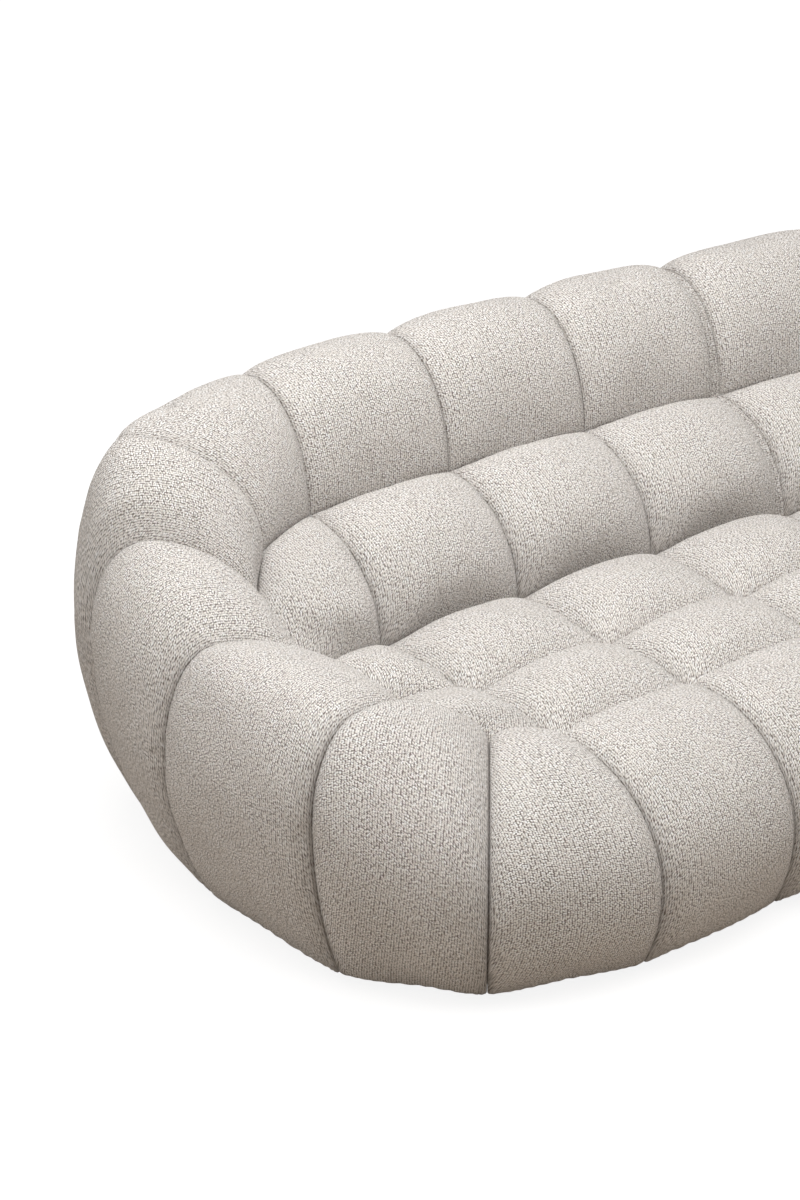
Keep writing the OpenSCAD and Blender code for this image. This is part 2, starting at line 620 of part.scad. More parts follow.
module pin_sockets() {
    at_pins() {
        translate([0, 0, rib_face]) flange_plate(socket_d);
        translate([0, 0, joint_gap / 2]) difference() {
            cylinder(d = socket_d, h = rib_face + flange_t - joint_gap / 2);
            translate([0, 0, -flange_t]) cylinder(d = socket_bore, h = rib_face + 3 * flange_t);
        }
    }
}
module flange_screws(side) {
    at_pins() for (x = [-1, 1], y = [-1, 1])
        translate([x * flange_w * flange_hole_share, y * flange_w * flange_hole_share,
            side * (rib_face + flange_t)])
            mirror([0, 0, side > 0 ? 1 : 0]) screw(flange_screw_l);
}
module both_joints() {
    for (side = [0, 1]) mirror([side, 0, 0])
        translate(joint_at) rotate([0, 0, joint_angle]) children();
}

// Sub-parts of the middle section
module middle_base_board() {
    color(ply_rgb) board(foot_plan(concat(mid_back, mid_front)), mid_glides);
}
module middle_ribs() {
    color(ply_rgb) {
        ribs(mid_back, [-1, 0, 1], socket_hole);
        ribs(mid_front, [-1, 0, 1], socket_hole);
    }
}
module middle_back_panel() {
    color(ply_rgb) bent_panel(mid_back, lumbar_z);
}
module middle_seat_rails() {
    color(ply_rgb) rails(mid_well);
}
module middle_webbing() {
    color(dark_rgb) straps(mid_well, [-mid_col_w / 2, mid_col_w / 2], mid_col_w);
}
module middle_seat_foam() {
    color(foam_rgb) seat_block(mid_well);
}
module middle_back_foam() {
    color(foam_rgb) foam_bays(mid_back, 0, 1, 0);
}
module middle_front_foam() {
    color(foam_rgb) foam_bays(mid_front, 0, 1, 0);
}
module middle_joint_panels() {
    color(cloth_rgb) both_joints() joint_panel(joint_gap / 2, joint_t - half_gap, socket_hole);
}
module tufts(list) {
    color(cloth_rgb) for (t = list) tuft(t);
}
module middle_dust_cover() {
    color(dark_rgb) dust_sheet(foot_plan(concat(mid_back, mid_front)), mid_glides);
}
module middle_screws() {
    color(steel_rgb) {
        glide_screws(mid_glides);
        both_joints() flange_screws(1);
    }
}
module middle_pin_sockets() {
    color(steel_rgb) both_joints() pin_sockets();
}

// Sub-parts of an end section, drawn for the left one with its joint on the YZ plane
end_sides = [-1, 0, 0, 0, 0, 0, 0, 0, 0, 0, 0, 0, 1];
module end_base_board() {
    color(ply_rgb) board(foot_plan(end_ring), end_glides);
}
module end_ribs() {
    color(ply_rgb) ribs(end_ring, end_sides, pin_hole);
}
module end_back_panel() {
    color(ply_rgb) {
        bent_panel(concat(end_back, [arms[0]]), arms[0][0].z);
        bent_panel([arms[0], arms[1]], arms[1][0].z);
    }
}
module end_seat_rails() {
    color(ply_rgb) rails(end_well);
}
module end_webbing() {
    color(dark_rgb) straps(end_well, [for (k = [0.5:1:3.5]) k * col_w], 0);
}
module end_seat_foam() {
    color(foam_rgb) seat_block(end_well);
}
module end_back_foam() {
    color(foam_rgb) {
        foam_bays(end_ring, 0, 2, 0);
        foam_bays(end_ring, 3, 3, twist_drop);
    }
}
module end_arm_foam() {
    color(foam_rgb) foam_bays(end_ring, 4, 7, twist_drop);
}
module end_front_foam() {
    color(foam_rgb) {
        foam_bays(end_ring, 8, 8, twist_drop);
        foam_bays(end_ring, 9, 11, 0);
    }
}
module end_joint_panel() {
    color(cloth_rgb) joint_panel(half_gap - joint_t, -joint_gap / 2, pin_hole);
}
module end_dust_cover() {
    color(dark_rgb) dust_sheet(foot_plan(end_ring), end_glides);
}
module end_screws() {
    color(steel_rgb) {
        glide_screws(end_glides);
        flange_screws(-1);
    }
}
module end_locating_pins() {
    color(steel_rgb) locating_pins();
}

in_middle() middle_base_board();
in_middle() middle_ribs();
in_middle() middle_back_panel();
in_middle() middle_seat_rails();
in_middle() middle_webbing();
in_middle() middle_seat_foam();
in_middle() middle_back_foam();
in_middle() middle_front_foam();
in_middle() middle_joint_panels();
in_middle() tufts(mid_crest);  // middle_crest_pads
in_middle() tufts(mid_lumbar);  // middle_lumbar_pads
in_middle() tufts(mid_rear);  // middle_rear_seat_pads
in_middle() tufts(mid_seat);  // middle_front_seat_pads
in_middle() tufts(mid_edge);  // middle_front_edge_pads
in_middle() middle_dust_cover();
in_middle() color(dark_rgb) glides(mid_glides);  // middle_glides
in_middle() middle_screws();
in_middle() middle_pin_sockets();
on_left() end_base_board();  // left_base_board
on_left() end_ribs();  // left_ribs
on_left() end_back_panel();  // left_back_panel
on_left() end_seat_rails();  // left_seat_rails
on_left() end_webbing();  // left_webbing
on_left() end_seat_foam();  // left_seat_foam
on_left() end_back_foam();  // left_back_foam
on_left() end_arm_foam();  // left_arm_foam
on_left() end_front_foam();  // left_front_foam
on_left() end_joint_panel();  // left_joint_panel
on_left() tufts(end_crest);  // left_crest_pads
on_left() tufts(end_lumbar);  // left_lumbar_pads
on_left() tufts(end_rear);  // left_rear_seat_pads
on_left() tufts(end_seat);  // left_front_seat_pads
on_left() tufts(end_arm);  // left_arm_pads
on_left() tufts(end_edge);  // left_front_edge_pads
on_left() end_dust_cover();  // left_dust_cover
on_left() color(dark_rgb) glides(end_glides);  // left_glides
on_left() end_screws();  // left_screws
on_left() end_locating_pins();  // left_locating_pins
on_right() end_base_board();  // right_base_board
on_right() end_ribs();  // right_ribs
on_right() end_back_panel();  // right_back_panel
on_right() end_seat_rails();  // right_seat_rails
on_right() end_webbing();  // right_webbing
on_right() end_seat_foam();  // right_seat_foam
on_right() end_back_foam();  // right_back_foam
on_right() end_arm_foam();  // right_arm_foam
on_right() end_front_foam();  // right_front_foam
on_right() end_joint_panel();  // right_joint_panel
on_right() tufts(end_crest);  // right_crest_pads
on_right() tufts(end_lumbar);  // right_lumbar_pads
on_right() tufts(end_rear);  // right_rear_seat_pads
on_right() tufts(end_seat);  // right_front_seat_pads
on_right() tufts(end_arm);  // right_arm_pads
on_right() tufts(end_edge);  // right_front_edge_pads
on_right() end_dust_cover();  // right_dust_cover
on_right() color(dark_rgb) glides(end_glides);  // right_glides
on_right() end_screws();  // right_screws
on_right() end_locating_pins();  // right_locating_pins
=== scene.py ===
"""Looks of the curved sectional sofa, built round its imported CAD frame.

Every tuft of the upholstery is formed as its own padded piece on the seams that the CAD model
uses, and replaces the plain CAD pads. The hidden frame keeps its CAD shape and gets materials.
Lengths are in metres, +Z is up and the sofa faces -Y.
"""

import json
import logging
import math
from dataclasses import dataclass
from enum import Enum

import bpy
import numpy as np
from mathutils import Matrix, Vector


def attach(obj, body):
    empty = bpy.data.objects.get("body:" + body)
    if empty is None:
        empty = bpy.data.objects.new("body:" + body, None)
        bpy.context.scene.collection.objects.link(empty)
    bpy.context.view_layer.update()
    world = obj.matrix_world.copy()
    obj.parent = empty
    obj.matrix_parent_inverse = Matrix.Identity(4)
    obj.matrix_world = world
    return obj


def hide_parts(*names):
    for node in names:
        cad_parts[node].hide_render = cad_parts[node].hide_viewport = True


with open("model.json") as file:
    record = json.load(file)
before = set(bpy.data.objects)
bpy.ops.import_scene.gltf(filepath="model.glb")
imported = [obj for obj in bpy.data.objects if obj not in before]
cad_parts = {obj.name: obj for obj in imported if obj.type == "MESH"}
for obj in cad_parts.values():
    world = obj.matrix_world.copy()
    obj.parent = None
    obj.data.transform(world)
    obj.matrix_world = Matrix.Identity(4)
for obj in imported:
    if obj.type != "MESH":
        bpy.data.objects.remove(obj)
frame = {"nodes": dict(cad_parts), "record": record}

Socket = bpy.types.NodeSocket
LOG = logging.getLogger("sofa")
SEED = 5088


class Section(Enum):
    """The three sections, by the CAD body that each one is."""

    MIDDLE = "middle"
    LEFT = "left_end"
    RIGHT = "right_end"

    @property
    def prefix(self) -> str:
        """First word of the section's node names."""
        return self.value.split("_")[0]


class Row(Enum):
    """The rows of tufts, by the CAD node that each one replaces."""

    CREST = "crest_pads"
    LUMBAR = "lumbar_pads"
    REAR = "rear_seat_pads"
    FRONT = "front_seat_pads"
    ARM = "arm_pads"
    EDGE = "front_edge_pads"


@dataclass(frozen=True)
class Layout:
    """Sizes shared with the CAD model, in metres."""

    col_w: float = 0.329
    mid_col_w: float = 0.420
    corner_w: float = 0.202
    sweep_r: float = 8.0
    fan_r: float = 14.3
    lumbar_d: float = 0.203
    rear_row_d: float = 0.246
    front_row_d: float = 0.223
    back_d: float = 0.325
    front_d: float = 0.258
    back_z: float = 0.733
    lumbar_z: float = 0.522
    seat_z: float = 0.334
    hem_z: float = 0.015
    back_swell: float = 0.030
    arm_swell: float = 0.037
    seat_swell: float = 0.062
    pad_t: float = 0.040
    seam_gap: float = 0.0006
    joint_t: float = 0.010
    joint_gap: float = 0.001
    joint_drop: float = 0.002
    centre_y: float = -0.355891

    @property
    def seat_d(self) -> float:
        """Depth of the seat from the upper back seam to the front seam."""
        return self.lumbar_d + self.rear_row_d + self.front_row_d

    @property
    def joint_angle(self) -> float:
        """Turn of an end section against the middle one, in radians."""
        return math.asin(self.mid_col_w / self.sweep_r)

    @property
    def joint_at(self) -> tuple[float, float]:
        """Where the left joint stands in the row frame."""
        c, turn = self.mid_col_w - self.joint_t, self.joint_angle
        return (-c - math.cos(turn) * self.joint_t,
                -c * c / (2 * self.sweep_r) - math.sin(turn) * self.joint_t - self.centre_y)


@dataclass(frozen=True)
class TuftShares:
    """Shares that shape a tuft, the same as in the CAD model.

    A ring seam has its crest and its outermost point at the shares crest and outer of its way. foot is
    how fast a ring tuft swells from the seat, and hem the share of its swell that is left at the floor.
    turn is the share of the width over which an edge sets the way in which the cover faces.
    """

    crest: float = 0.30
    outer: float = 0.62
    foot: float = 1.26
    hem: float = 0.08
    turn: float = 0.45
    ring_crown: tuple = (2.5, 0.5)
    seat_crown: tuple = (2.3, 0.64)
    hem_power: float = 2.2
    step: float = 0.004


LAYOUT = Layout()
SHARES = TuftShares()
UP = np.array([0.0, 0.0, 1.0])
TINY = 1e-12


def unit(v: np.ndarray) -> np.ndarray:
    """Scales vectors to length one.

    Args:
        v: One vector or an array of vectors.

    Returns:
        The same array with unit vectors.
    """
    return v / np.maximum(np.linalg.norm(v, axis=-1, keepdims=True), TINY)


def heading(angle: float) -> np.ndarray:
    """Level unit vector at an angle from +X."""
    return np.array([math.cos(angle), math.sin(angle), 0.0])


def mix(a: float | np.ndarray, b: float | np.ndarray, t: float | np.ndarray) -> float | np.ndarray:
    """Linear blend from a to b by t."""
    return a + (b - a) * t


def ease(t: np.ndarray) -> np.ndarray:
    """Smooth step from 0 to 1."""
    c = np.clip(t, 0.0, 1.0)
    return c * c * (3.0 - 2.0 * c)


def crown(t: np.ndarray, form: tuple) -> np.ndarray:
    """Rise of a stuffed tuft across its width, 0 at its seams and 1 in the middle.

    Args:
        t: Shares of the width.
        form: The power and the root that shape it.

    Returns:
        Shares of the swell.
    """
    return np.clip(1.0 - np.abs(2.0 * t - 1.0) ** form[0], 0.0, None) ** form[1]


def spaced(count: int, pinch: float = 0.6) -> np.ndarray:
    """Shares from 0 to 1 that crowd towards both ends.

    Args:
        count: Number of steps.
        pinch: 0 for even steps, 1 for the full crowding of a half circle.

    Returns:
        count + 1 shares.
    """
    t = np.linspace(0.0, 1.0, count + 1)
    return mix(t, (1.0 - np.cos(np.pi * t)) / 2.0, pinch)


def refined(grid: np.ndarray, axis: int) -> np.ndarray:
    """Doubles the steps along one axis, on a smooth curve through the given points.

    Args:
        grid: Points, with any shape.
        axis: The axis whose steps are halved.

    Returns:
        The finer grid, which holds all the given points.
    """
    g = np.moveaxis(grid, axis, 0)
    wide = np.concatenate([2 * g[:1] - g[1:2], g, 2 * g[-1:] - g[-2:-1]])
    out = np.empty((2 * len(g) - 1, *g.shape[1:]))
    out[::2] = g
    # The cubic through four points, halfway between the inner two
    out[1::2] = (9 * (wide[1:-2] + wide[2:-1]) - wide[:-3] - wide[3:]) / 16
    return np.moveaxis(out, 0, axis)


def way_lengths(points: np.ndarray, axis: int = 0) -> np.ndarray:
    """Lengths of the way from point to point along one axis, 0 at its start.

    Args:
        points: Points, in one row or in rows and columns.
        axis: The axis that is followed.

    Returns:
        One length for each point.
    """
    steps = np.linalg.norm(np.diff(points, axis=axis), axis=-1)
    return np.concatenate([np.zeros_like(steps.take([0], axis)), np.cumsum(steps, axis)], axis)


def numbered(points: np.ndarray) -> np.ndarray:
    """The number of each point of a grid, row by row."""
    rows, cols = points.shape[:2]
    return np.arange(rows * cols).reshape(rows, cols)


def mesh_object(name: str, points: np.ndarray, faces: list) -> bpy.types.Object:
    """Makes an object with a mesh of its own and adds it to the scene.

    Args:
        name: The name of both.
        points: The mesh's points.
        faces: Its faces.

    Returns:
        The object.
    """
    mesh = bpy.data.meshes.new(name)
    mesh.from_pydata(points.tolist(), [], faces)
    obj = bpy.data.objects.new(name, mesh)
    bpy.context.scene.collection.objects.link(obj)
    return obj


@dataclass(frozen=True)
class Edge:
    """One side of a tuft: its seam, the line sunk below it and the way the seam faces."""

    top: np.ndarray
    low: np.ndarray
    out: np.ndarray


@dataclass(frozen=True)
class Seam:
    """A ring seam in an upright plane, from the seat over the crest to the hem."""

    start: np.ndarray
    angle: float
    crest_d: float
    crest_z: float
    outer_d: float
    outer_z: float
    foot_d: float
    wall: bool
    lean: float

    def path(self, v: np.ndarray, depth: float) -> np.ndarray:
        """Points of the seam.

        Args:
            v: Shares of the way from the start to the hem.
            depth: How far the path is sunk below the cover.

        Returns:
            One point for each share.
        """
        rise = np.clip(v / SHARES.crest, 0, 1) * np.pi / 2
        fall = np.clip((v - SHARES.crest) / (SHARES.outer - SHARES.crest), 0, 1) * np.pi / 2
        tuck = np.clip((v - SHARES.outer) / (1 - SHARES.outer), 0, 1)
        seat_in_z = LAYOUT.seat_z - LAYOUT.pad_t
        low_z = self.start[2] - depth if self.wall else mix(self.start[2], seat_in_z, depth / LAYOUT.pad_t)
        far = self.outer_d - depth
        d = np.where(v <= SHARES.crest, mix(LAYOUT.seam_gap / 2, self.crest_d, 1 - np.cos(rise)),
                     np.where(v <= SHARES.outer, mix(self.crest_d, far, np.sin(fall)),
                              far - (self.outer_d - self.foot_d) * tuck ** 2))
        z = np.where(v <= SHARES.crest, mix(low_z, self.crest_z - depth, np.sin(rise)),
                     np.where(v <= SHARES.outer, mix(self.outer_z, self.crest_z - depth, np.cos(fall)),
                              mix(self.outer_z, LAYOUT.hem_z, tuck)))
        return self.start * [1, 1, 0] + d[:, None] * heading(self.angle) + z[:, None] * UP

    def facing(self, v: np.ndarray) -> np.ndarray:
        """Outward directions in the seam's own plane."""
        along = self.path(np.clip(v + SHARES.step, 0, 1), 0) - self.path(np.clip(v - SHARES.step, 0, 1), 0)
        return unit(np.cross(unit(along), np.cross(UP, heading(self.angle))))

    def edge(self, v: np.ndarray) -> Edge:
        """The seam as a tuft's edge."""
        return Edge(self.path(v, 0.0), self.path(v, LAYOUT.pad_t), self.facing(v))

    @property
    def lean_way(self) -> np.ndarray:
        """The way in which tufts face beside the seam's start."""
        return unit(UP - heading(self.angle) * self.lean)

    @property
    def inner_start(self) -> np.ndarray:
        """The seam's start as the tufts inside the ring meet it."""
        return self.start - heading(self.angle) * LAYOUT.seam_gap / 2


@dataclass(frozen=True)
class SeamShares:
    """Form of the straight ring seams, as shares of a section's depth and height there.

    wall tells that the cover inside the ring rises along the seam, and lean how far tufts lean inwards.
    """

    crest_d: float
    crest_z: float
    outer_z: float
    foot_d: float
    wall: bool
    lean: float

    def seam(self, start: np.ndarray, angle: float, depth: float, height: float) -> Seam:
        """The seam of this form.

        Args:
            start: Where it leaves the seat or the lumbar roll.
            angle: The level direction in which it runs outwards.
            depth: Its reach.
            height: What the heights are shares of.

        Returns:
            The seam.
        """
        return Seam(start, angle, depth * self.crest_d, height * self.crest_z, depth, height * self.outer_z,
                    depth * self.foot_d, self.wall, self.lean)


@dataclass(frozen=True)
class ArmShares:
    """Form of a seam round the arm, with its angle in degrees.

    x is a share of the corner's width, y of the seat's depth, and outer_z of the seat's height. crest_d,
    outer_d and foot_d are shares of the back's depth. inner_z goes from the seat's seams, 0, to the
    lumbar seams, 1, and crest_z from the seat's seams to those of the back.
    """

    x: float
    y: float
    angle: float
    inner_z: float
    crest_d: float
    crest_z: float
    outer_d: float
    outer_z: float
    foot_d: float
    wall: bool
    lean: float


BACK_SHARES = SeamShares(crest_d=0.46, crest_z=1.0, outer_z=0.445, foot_d=0.86, wall=True, lean=0.2)
FRONT_SHARES = SeamShares(crest_d=0.20, crest_z=1.03, outer_z=0.50, foot_d=0.86, wall=False, lean=0.16)
ARM_SHARES = (
    ArmShares(0.76, 0.125, 135, 0.99, 0.70, 0.945, 0.92, 1.12, 0.67, True, 0.2),
    ArmShares(1.15, 0.26, 140, 0.48, 0.52, 0.605, 0.80, 1.34, 0.465, True, 0.2),
    ArmShares(1.015, 0.49, 169, 0.01, 0.55, 0.35, 0.81, 0.89, 0.59, False, 0.6),
    ArmShares(0.84, 0.86, 197, 0.07, 0.53, 0.325, 0.82, 0.965, 0.63, False, 0.6),
    ArmShares(0.35, 0.95, 234, 0.02, 0.175, 0.09, 0.88, 0.58, 0.715, False, 0.3),
)


@dataclass(frozen=True)
class Tuft:
    """A tuft between two edges, with the leans of its first and last seams and its swell."""

    row: Row
    edge_a: Edge
    edge_b: Edge
    first: tuple
    last: tuple | None
    ways: np.ndarray
    swells: np.ndarray
    form: tuple


class SofaPlan:
    """Seams and tufts of the middle section and of the left end section."""

    FOLD_LEAN = 0.1
    ROLL_SHARE, NOOK_SHARE, SIDE_SHARE = 0.86, 0.70, 0.30
    FLAT_STEPS, RING_STEPS = 32, 66
    END_COLS = 3

    def __init__(self, layout: Layout) -> None:
        """Lays out both sections.

        Args:
            layout: Sizes of the sofa.
        """
        self.layout = layout
        self.flat_ways = spaced(self.FLAT_STEPS)
        self.ring_ways = spaced(self.RING_STEPS)
        self.end_cols = [layout.joint_t] + [(k + 1) * layout.col_w for k in range(self.END_COLS)]
        edge_c = layout.mid_col_w - layout.joint_t
        self.mid_cols = [-edge_c, 0.0, edge_c]
        self.arms = [self.arm_seam(shares) for shares in ARM_SHARES]

    def column(self, c: float, turn: float, r: float, z: float) -> np.ndarray:
        """A point on a column line, at a distance behind the upper back seam."""
        start = np.array([-c, -c * c / (2 * self.layout.sweep_r), 0.0])
        return start + heading(math.pi / 2 + turn) * r + UP * z

    def back_seam(self, c: float, turn: float) -> Seam:
        """The seam over the back at a column line."""
        s = self.layout
        return BACK_SHARES.seam(self.column(c, turn, 0, s.lumbar_z), math.pi / 2 + turn, s.back_d, s.back_z)

    def front_seam(self, c: float, turn: float) -> Seam:
        """The seam down the front at a column line."""
        s = self.layout
        return FRONT_SHARES.seam(self.column(c, turn, -s.seat_d, s.seat_z), 3 * math.pi / 2 + turn,
                                 s.front_d, s.seat_z)

    def seams(self, cols: list, turns: list) -> tuple[list[Seam], list[Seam]]:
        """The back seams and the front seams at the column lines."""
        lines = list(zip(cols, turns))
        return [self.back_seam(*line) for line in lines], [self.front_seam(*line) for line in lines]

    def arm_seam(self, f: ArmShares) -> Seam:
        """A seam round the arm, set out from the last column line."""
        s = self.layout
        last = self.column(self.end_cols[-1], 0, 0, 0)
        start = np.array([last[0] - f.x * s.corner_w, last[1] - f.y * s.seat_d,
                          mix(s.seat_z, s.lumbar_z, f.inner_z)])
        return Seam(start, math.radians(f.angle), f.crest_d * s.back_d, mix(s.seat_z, s.back_z, f.crest_z),
                    f.outer_d * s.back_d, f.outer_z * s.seat_z, f.foot_d * s.back_d, f.wall, f.lean)

    def drop(self, p: np.ndarray) -> np.ndarray:
        """The point below p at the underside of the seat tufts."""
        return p * [1, 1, 0] + UP * (self.layout.seat_z - self.layout.pad_t)

    def bend(self, points: list, v: np.ndarray) -> np.ndarray:
        """Points along a polyline whose pieces take equal shares."""
        where = np.linspace(0, 1, len(points))
        return np.stack([np.interp(v, where, [p[i] for p in points]) for i in range(3)], axis=1)

    def flat_edge(self, points: list, leans: list) -> Edge:
        """A seam across the seat through the given points."""
        v = self.flat_ways
        top = self.bend(points, v)
        return Edge(top, self.drop(top), unit(self.bend(leans, v)))

    def heel(self, p: np.ndarray, q: np.ndarray) -> np.ndarray:
        """The sunk line of a lumbar tuft, down its back and forward under it."""
        back = p - UP * self.layout.pad_t
        return self.bend([back, self.drop(back), self.drop(q)], self.flat_ways)

    def roll_edge(self, seam: Seam, q: np.ndarray) -> Edge:
        """The hollow seam from the back down to the seat beside a lumbar tuft."""
        p, w = seam.inner_start, self.flat_ways * np.pi / 2
        top = np.stack([mix(p[0], q[0], np.sin(w)), mix(p[1], q[1], np.sin(w)),
                        mix(p[2], q[2], 1 - np.cos(w))], axis=1)
        return Edge(top, self.heel(p, q), unit(self.bend([UP, unit((q - p) * [1, 1, 0])], self.flat_ways)))

    def side_edge(self, points: list, leans: list) -> Edge:
        """The seam where the tuft beside the arm meets it."""
        p, q, w = points
        sunk = self.bend([p - UP * self.layout.pad_t, self.drop(q), self.drop(w)], self.flat_ways)
        return Edge(self.bend(points, self.flat_ways), sunk, unit(self.bend(leans, self.flat_ways)))

    def ring_tuft(self, row: Row, s: Seam, t: Seam, swell: float) -> Tuft:
        """A tuft that runs from the seat over the crest to the hem, between two ring seams."""
        v = self.ring_ways
        tuck = np.clip(v - SHARES.outer, 0, None) / (1 - SHARES.outer)
        fade = 1 - (1 - SHARES.hem) * tuck ** SHARES.hem_power
        swells = swell * crown(np.minimum(0.5, SHARES.foot * v), SHARES.ring_crown) * fade
        return Tuft(row, t.edge(v), s.edge(v), (t.lean_way, s.lean_way), None, v, swells, SHARES.ring_crown)

    def flat_tuft(self, row: Row, a: Edge, b: Edge, first: tuple, last: tuple, share: float = 1.0) -> Tuft:
        """A tuft of the seat or of the lumbar roll."""
        swells = self.layout.seat_swell * share * crown(self.flat_ways, SHARES.seat_crown)
        return Tuft(row, a, b, first, last, self.flat_ways, swells, SHARES.seat_crown)

    def ring(self, rows: list[Row], seams: list[Seam]) -> list[Tuft]:
        """The tufts between neighbouring ring seams."""
        s = self.layout
        return [self.ring_tuft(row, a, b, s.arm_swell if row is Row.ARM else s.back_swell)
                for row, a, b in zip(rows, seams, seams[1:])]

    def seat_points(self, c: float, turn: float) -> list[np.ndarray]:
        """Where a column line meets the fold, the seam between the seat rows and the front seam."""
        s = self.layout
        return [self.column(c, turn, -r, s.seat_z) for r in (s.lumbar_d, s.lumbar_d + s.rear_row_d, s.seat_d)]

    def fold_lean(self, turn: float) -> np.ndarray:
        """The way in which tufts face at the fold between the lumbar roll and the seat."""
        return unit(UP - heading(math.pi / 2 + turn) * self.FOLD_LEAN)

    def columns(self, cols: list, turns: list) -> list[Tuft]:
        """The lumbar and seat tufts between neighbouring column lines."""
        points = [self.seat_points(c, t) for c, t in zip(cols, turns)]
        folds = [self.fold_lean(t) for t in turns]
        backs, fronts = self.seams(cols, turns)
        rolls = [self.roll_edge(back, p[0]) for back, p in zip(backs, points)]
        rears = [self.flat_edge(p[:2], [UP, UP]) for p in points]
        seats = [self.flat_edge(p[1:], [UP, UP]) for p in points]
        out = []
        for k, m in zip(range(len(cols)), range(1, len(cols))):
            out += [self.flat_tuft(Row.LUMBAR, rolls[k], rolls[m], (backs[k].lean_way, backs[m].lean_way),
                                   (folds[k], folds[m]), self.ROLL_SHARE),
                    self.flat_tuft(Row.REAR, rears[k], rears[m], (folds[k], folds[m]), (UP, UP)),
                    self.flat_tuft(Row.FRONT, seats[k], seats[m], (UP, UP),
                                   (fronts[k].lean_way, fronts[m].lean_way))]
        return out

    def corner(self, turn: float) -> list[Tuft]:
        """The lumbar and seat tufts beside the arm.

        Args:
            turn: Turn of the last column line, from which they start.

        Returns:
            The three tufts, from the back to the front.
        """
        c, arms = self.end_cols[-1], self.arms
        (back,), (front,) = self.seams([c], [turn])
        fold, (at_fold, at_middle, at_front) = self.fold_lean(turn), self.seat_points(c, turn)
        starts, leans = [a.inner_start for a in arms], [a.lean_way for a in arms]
        nook = mix(starts[1], starts[2], self.NOOK_SHARE)
        nook_lean = unit(mix(leans[1], leans[2], self.NOOK_SHARE))
        side_end = mix(starts[2], starts[3], self.SIDE_SHARE)
        side_lean = unit(mix(leans[2], leans[3], self.SIDE_SHARE))
        return [
            self.flat_tuft(Row.LUMBAR, self.roll_edge(back, at_fold),
                           self.side_edge([*starts[:2], nook], [*leans[:2], nook_lean]),
                           (back.lean_way, leans[0]), (fold, nook_lean), self.ROLL_SHARE),
            self.flat_tuft(Row.REAR, self.flat_edge([at_fold, at_middle], [UP, UP]),
                           self.flat_edge([nook, starts[2], side_end], [nook_lean, leans[2], side_lean]),
                           (fold, nook_lean), (UP, side_lean)),
            self.flat_tuft(Row.FRONT, self.flat_edge([at_middle, at_front], [UP, UP]),
                           self.flat_edge([side_end, *starts[3:]], [side_lean, *leans[3:]]),
                           (UP, side_lean), (front.lean_way, leans[4]))]

    def middle(self) -> list[Tuft]:
        """The middle section's tufts, in its own frame."""
        turns = [self.layout.joint_angle * c / self.mid_cols[-1] for c in self.mid_cols]
        backs, fronts = self.seams(self.mid_cols, turns)
        return (self.ring([Row.CREST] * 2, backs) + self.ring([Row.EDGE] * 2, fronts[::-1])
                + self.columns(self.mid_cols, turns))

    def end(self) -> list[Tuft]:
        """The left end section's tufts, with its joint on the YZ plane."""
        s = self.layout
        turns = [math.atan((c - s.joint_t) / s.fan_r) for c in self.end_cols]
        backs, fronts = self.seams(self.end_cols, turns)
        rows = [Row.CREST] * len(backs) + [Row.ARM] * (len(self.arms) - 1) + [Row.EDGE] * len(fronts)
        return (self.ring(rows, backs + self.arms + fronts[::-1]) + self.columns(self.end_cols, turns)
                + self.corner(turns[-1]))


@dataclass
class Skin:
    """A piece's mesh before it becomes an object."""

    points: np.ndarray
    faces: list
    uv: np.ndarray
    # Share of painted shade at each point, which darkens the cloth along seams
    crease: np.ndarray

    def placed(self, section: Section) -> "Skin":
        """A copy in the row frame.

        Args:
            section: Whose place it takes. The skin is in the frame of the middle section or, for both
                others, of the left end section.

        Returns:
            The placed copy, with its faces pointing outwards.
        """
        middle = section is Section.MIDDLE
        turn, shift = (0.0, (0.0, -LAYOUT.centre_y)) if middle else (LAYOUT.joint_angle, LAYOUT.joint_at)
        c, s = math.cos(turn), math.sin(turn)
        p = self.points @ np.array([[c, s, 0], [-s, c, 0], [0, 0, 1]]) + np.array([*shift, 0.0])
        if section is not Section.RIGHT:
            return Skin(p, self.faces, self.uv, self.crease)
        return Skin(p * [-1, 1, 1], [f[::-1] for f in self.faces], self.uv, self.crease)


def outward(points: np.ndarray, faces: list) -> list:
    """Turns a closed mesh's faces so that they point outwards.

    Args:
        points: The mesh's points.
        faces: Its faces, which all turn the same way.

    Returns:
        The faces.
    """
    p = points - points.mean(axis=0)
    corners = np.array([(f[0], f[k], f[k + 1]) for f in faces for k in range(1, len(f) - 1)])
    a, b, c = (p[corners[:, i]] for i in range(3))
    return faces if (a * np.cross(b, c)).sum() > 0 else [f[::-1] for f in faces]


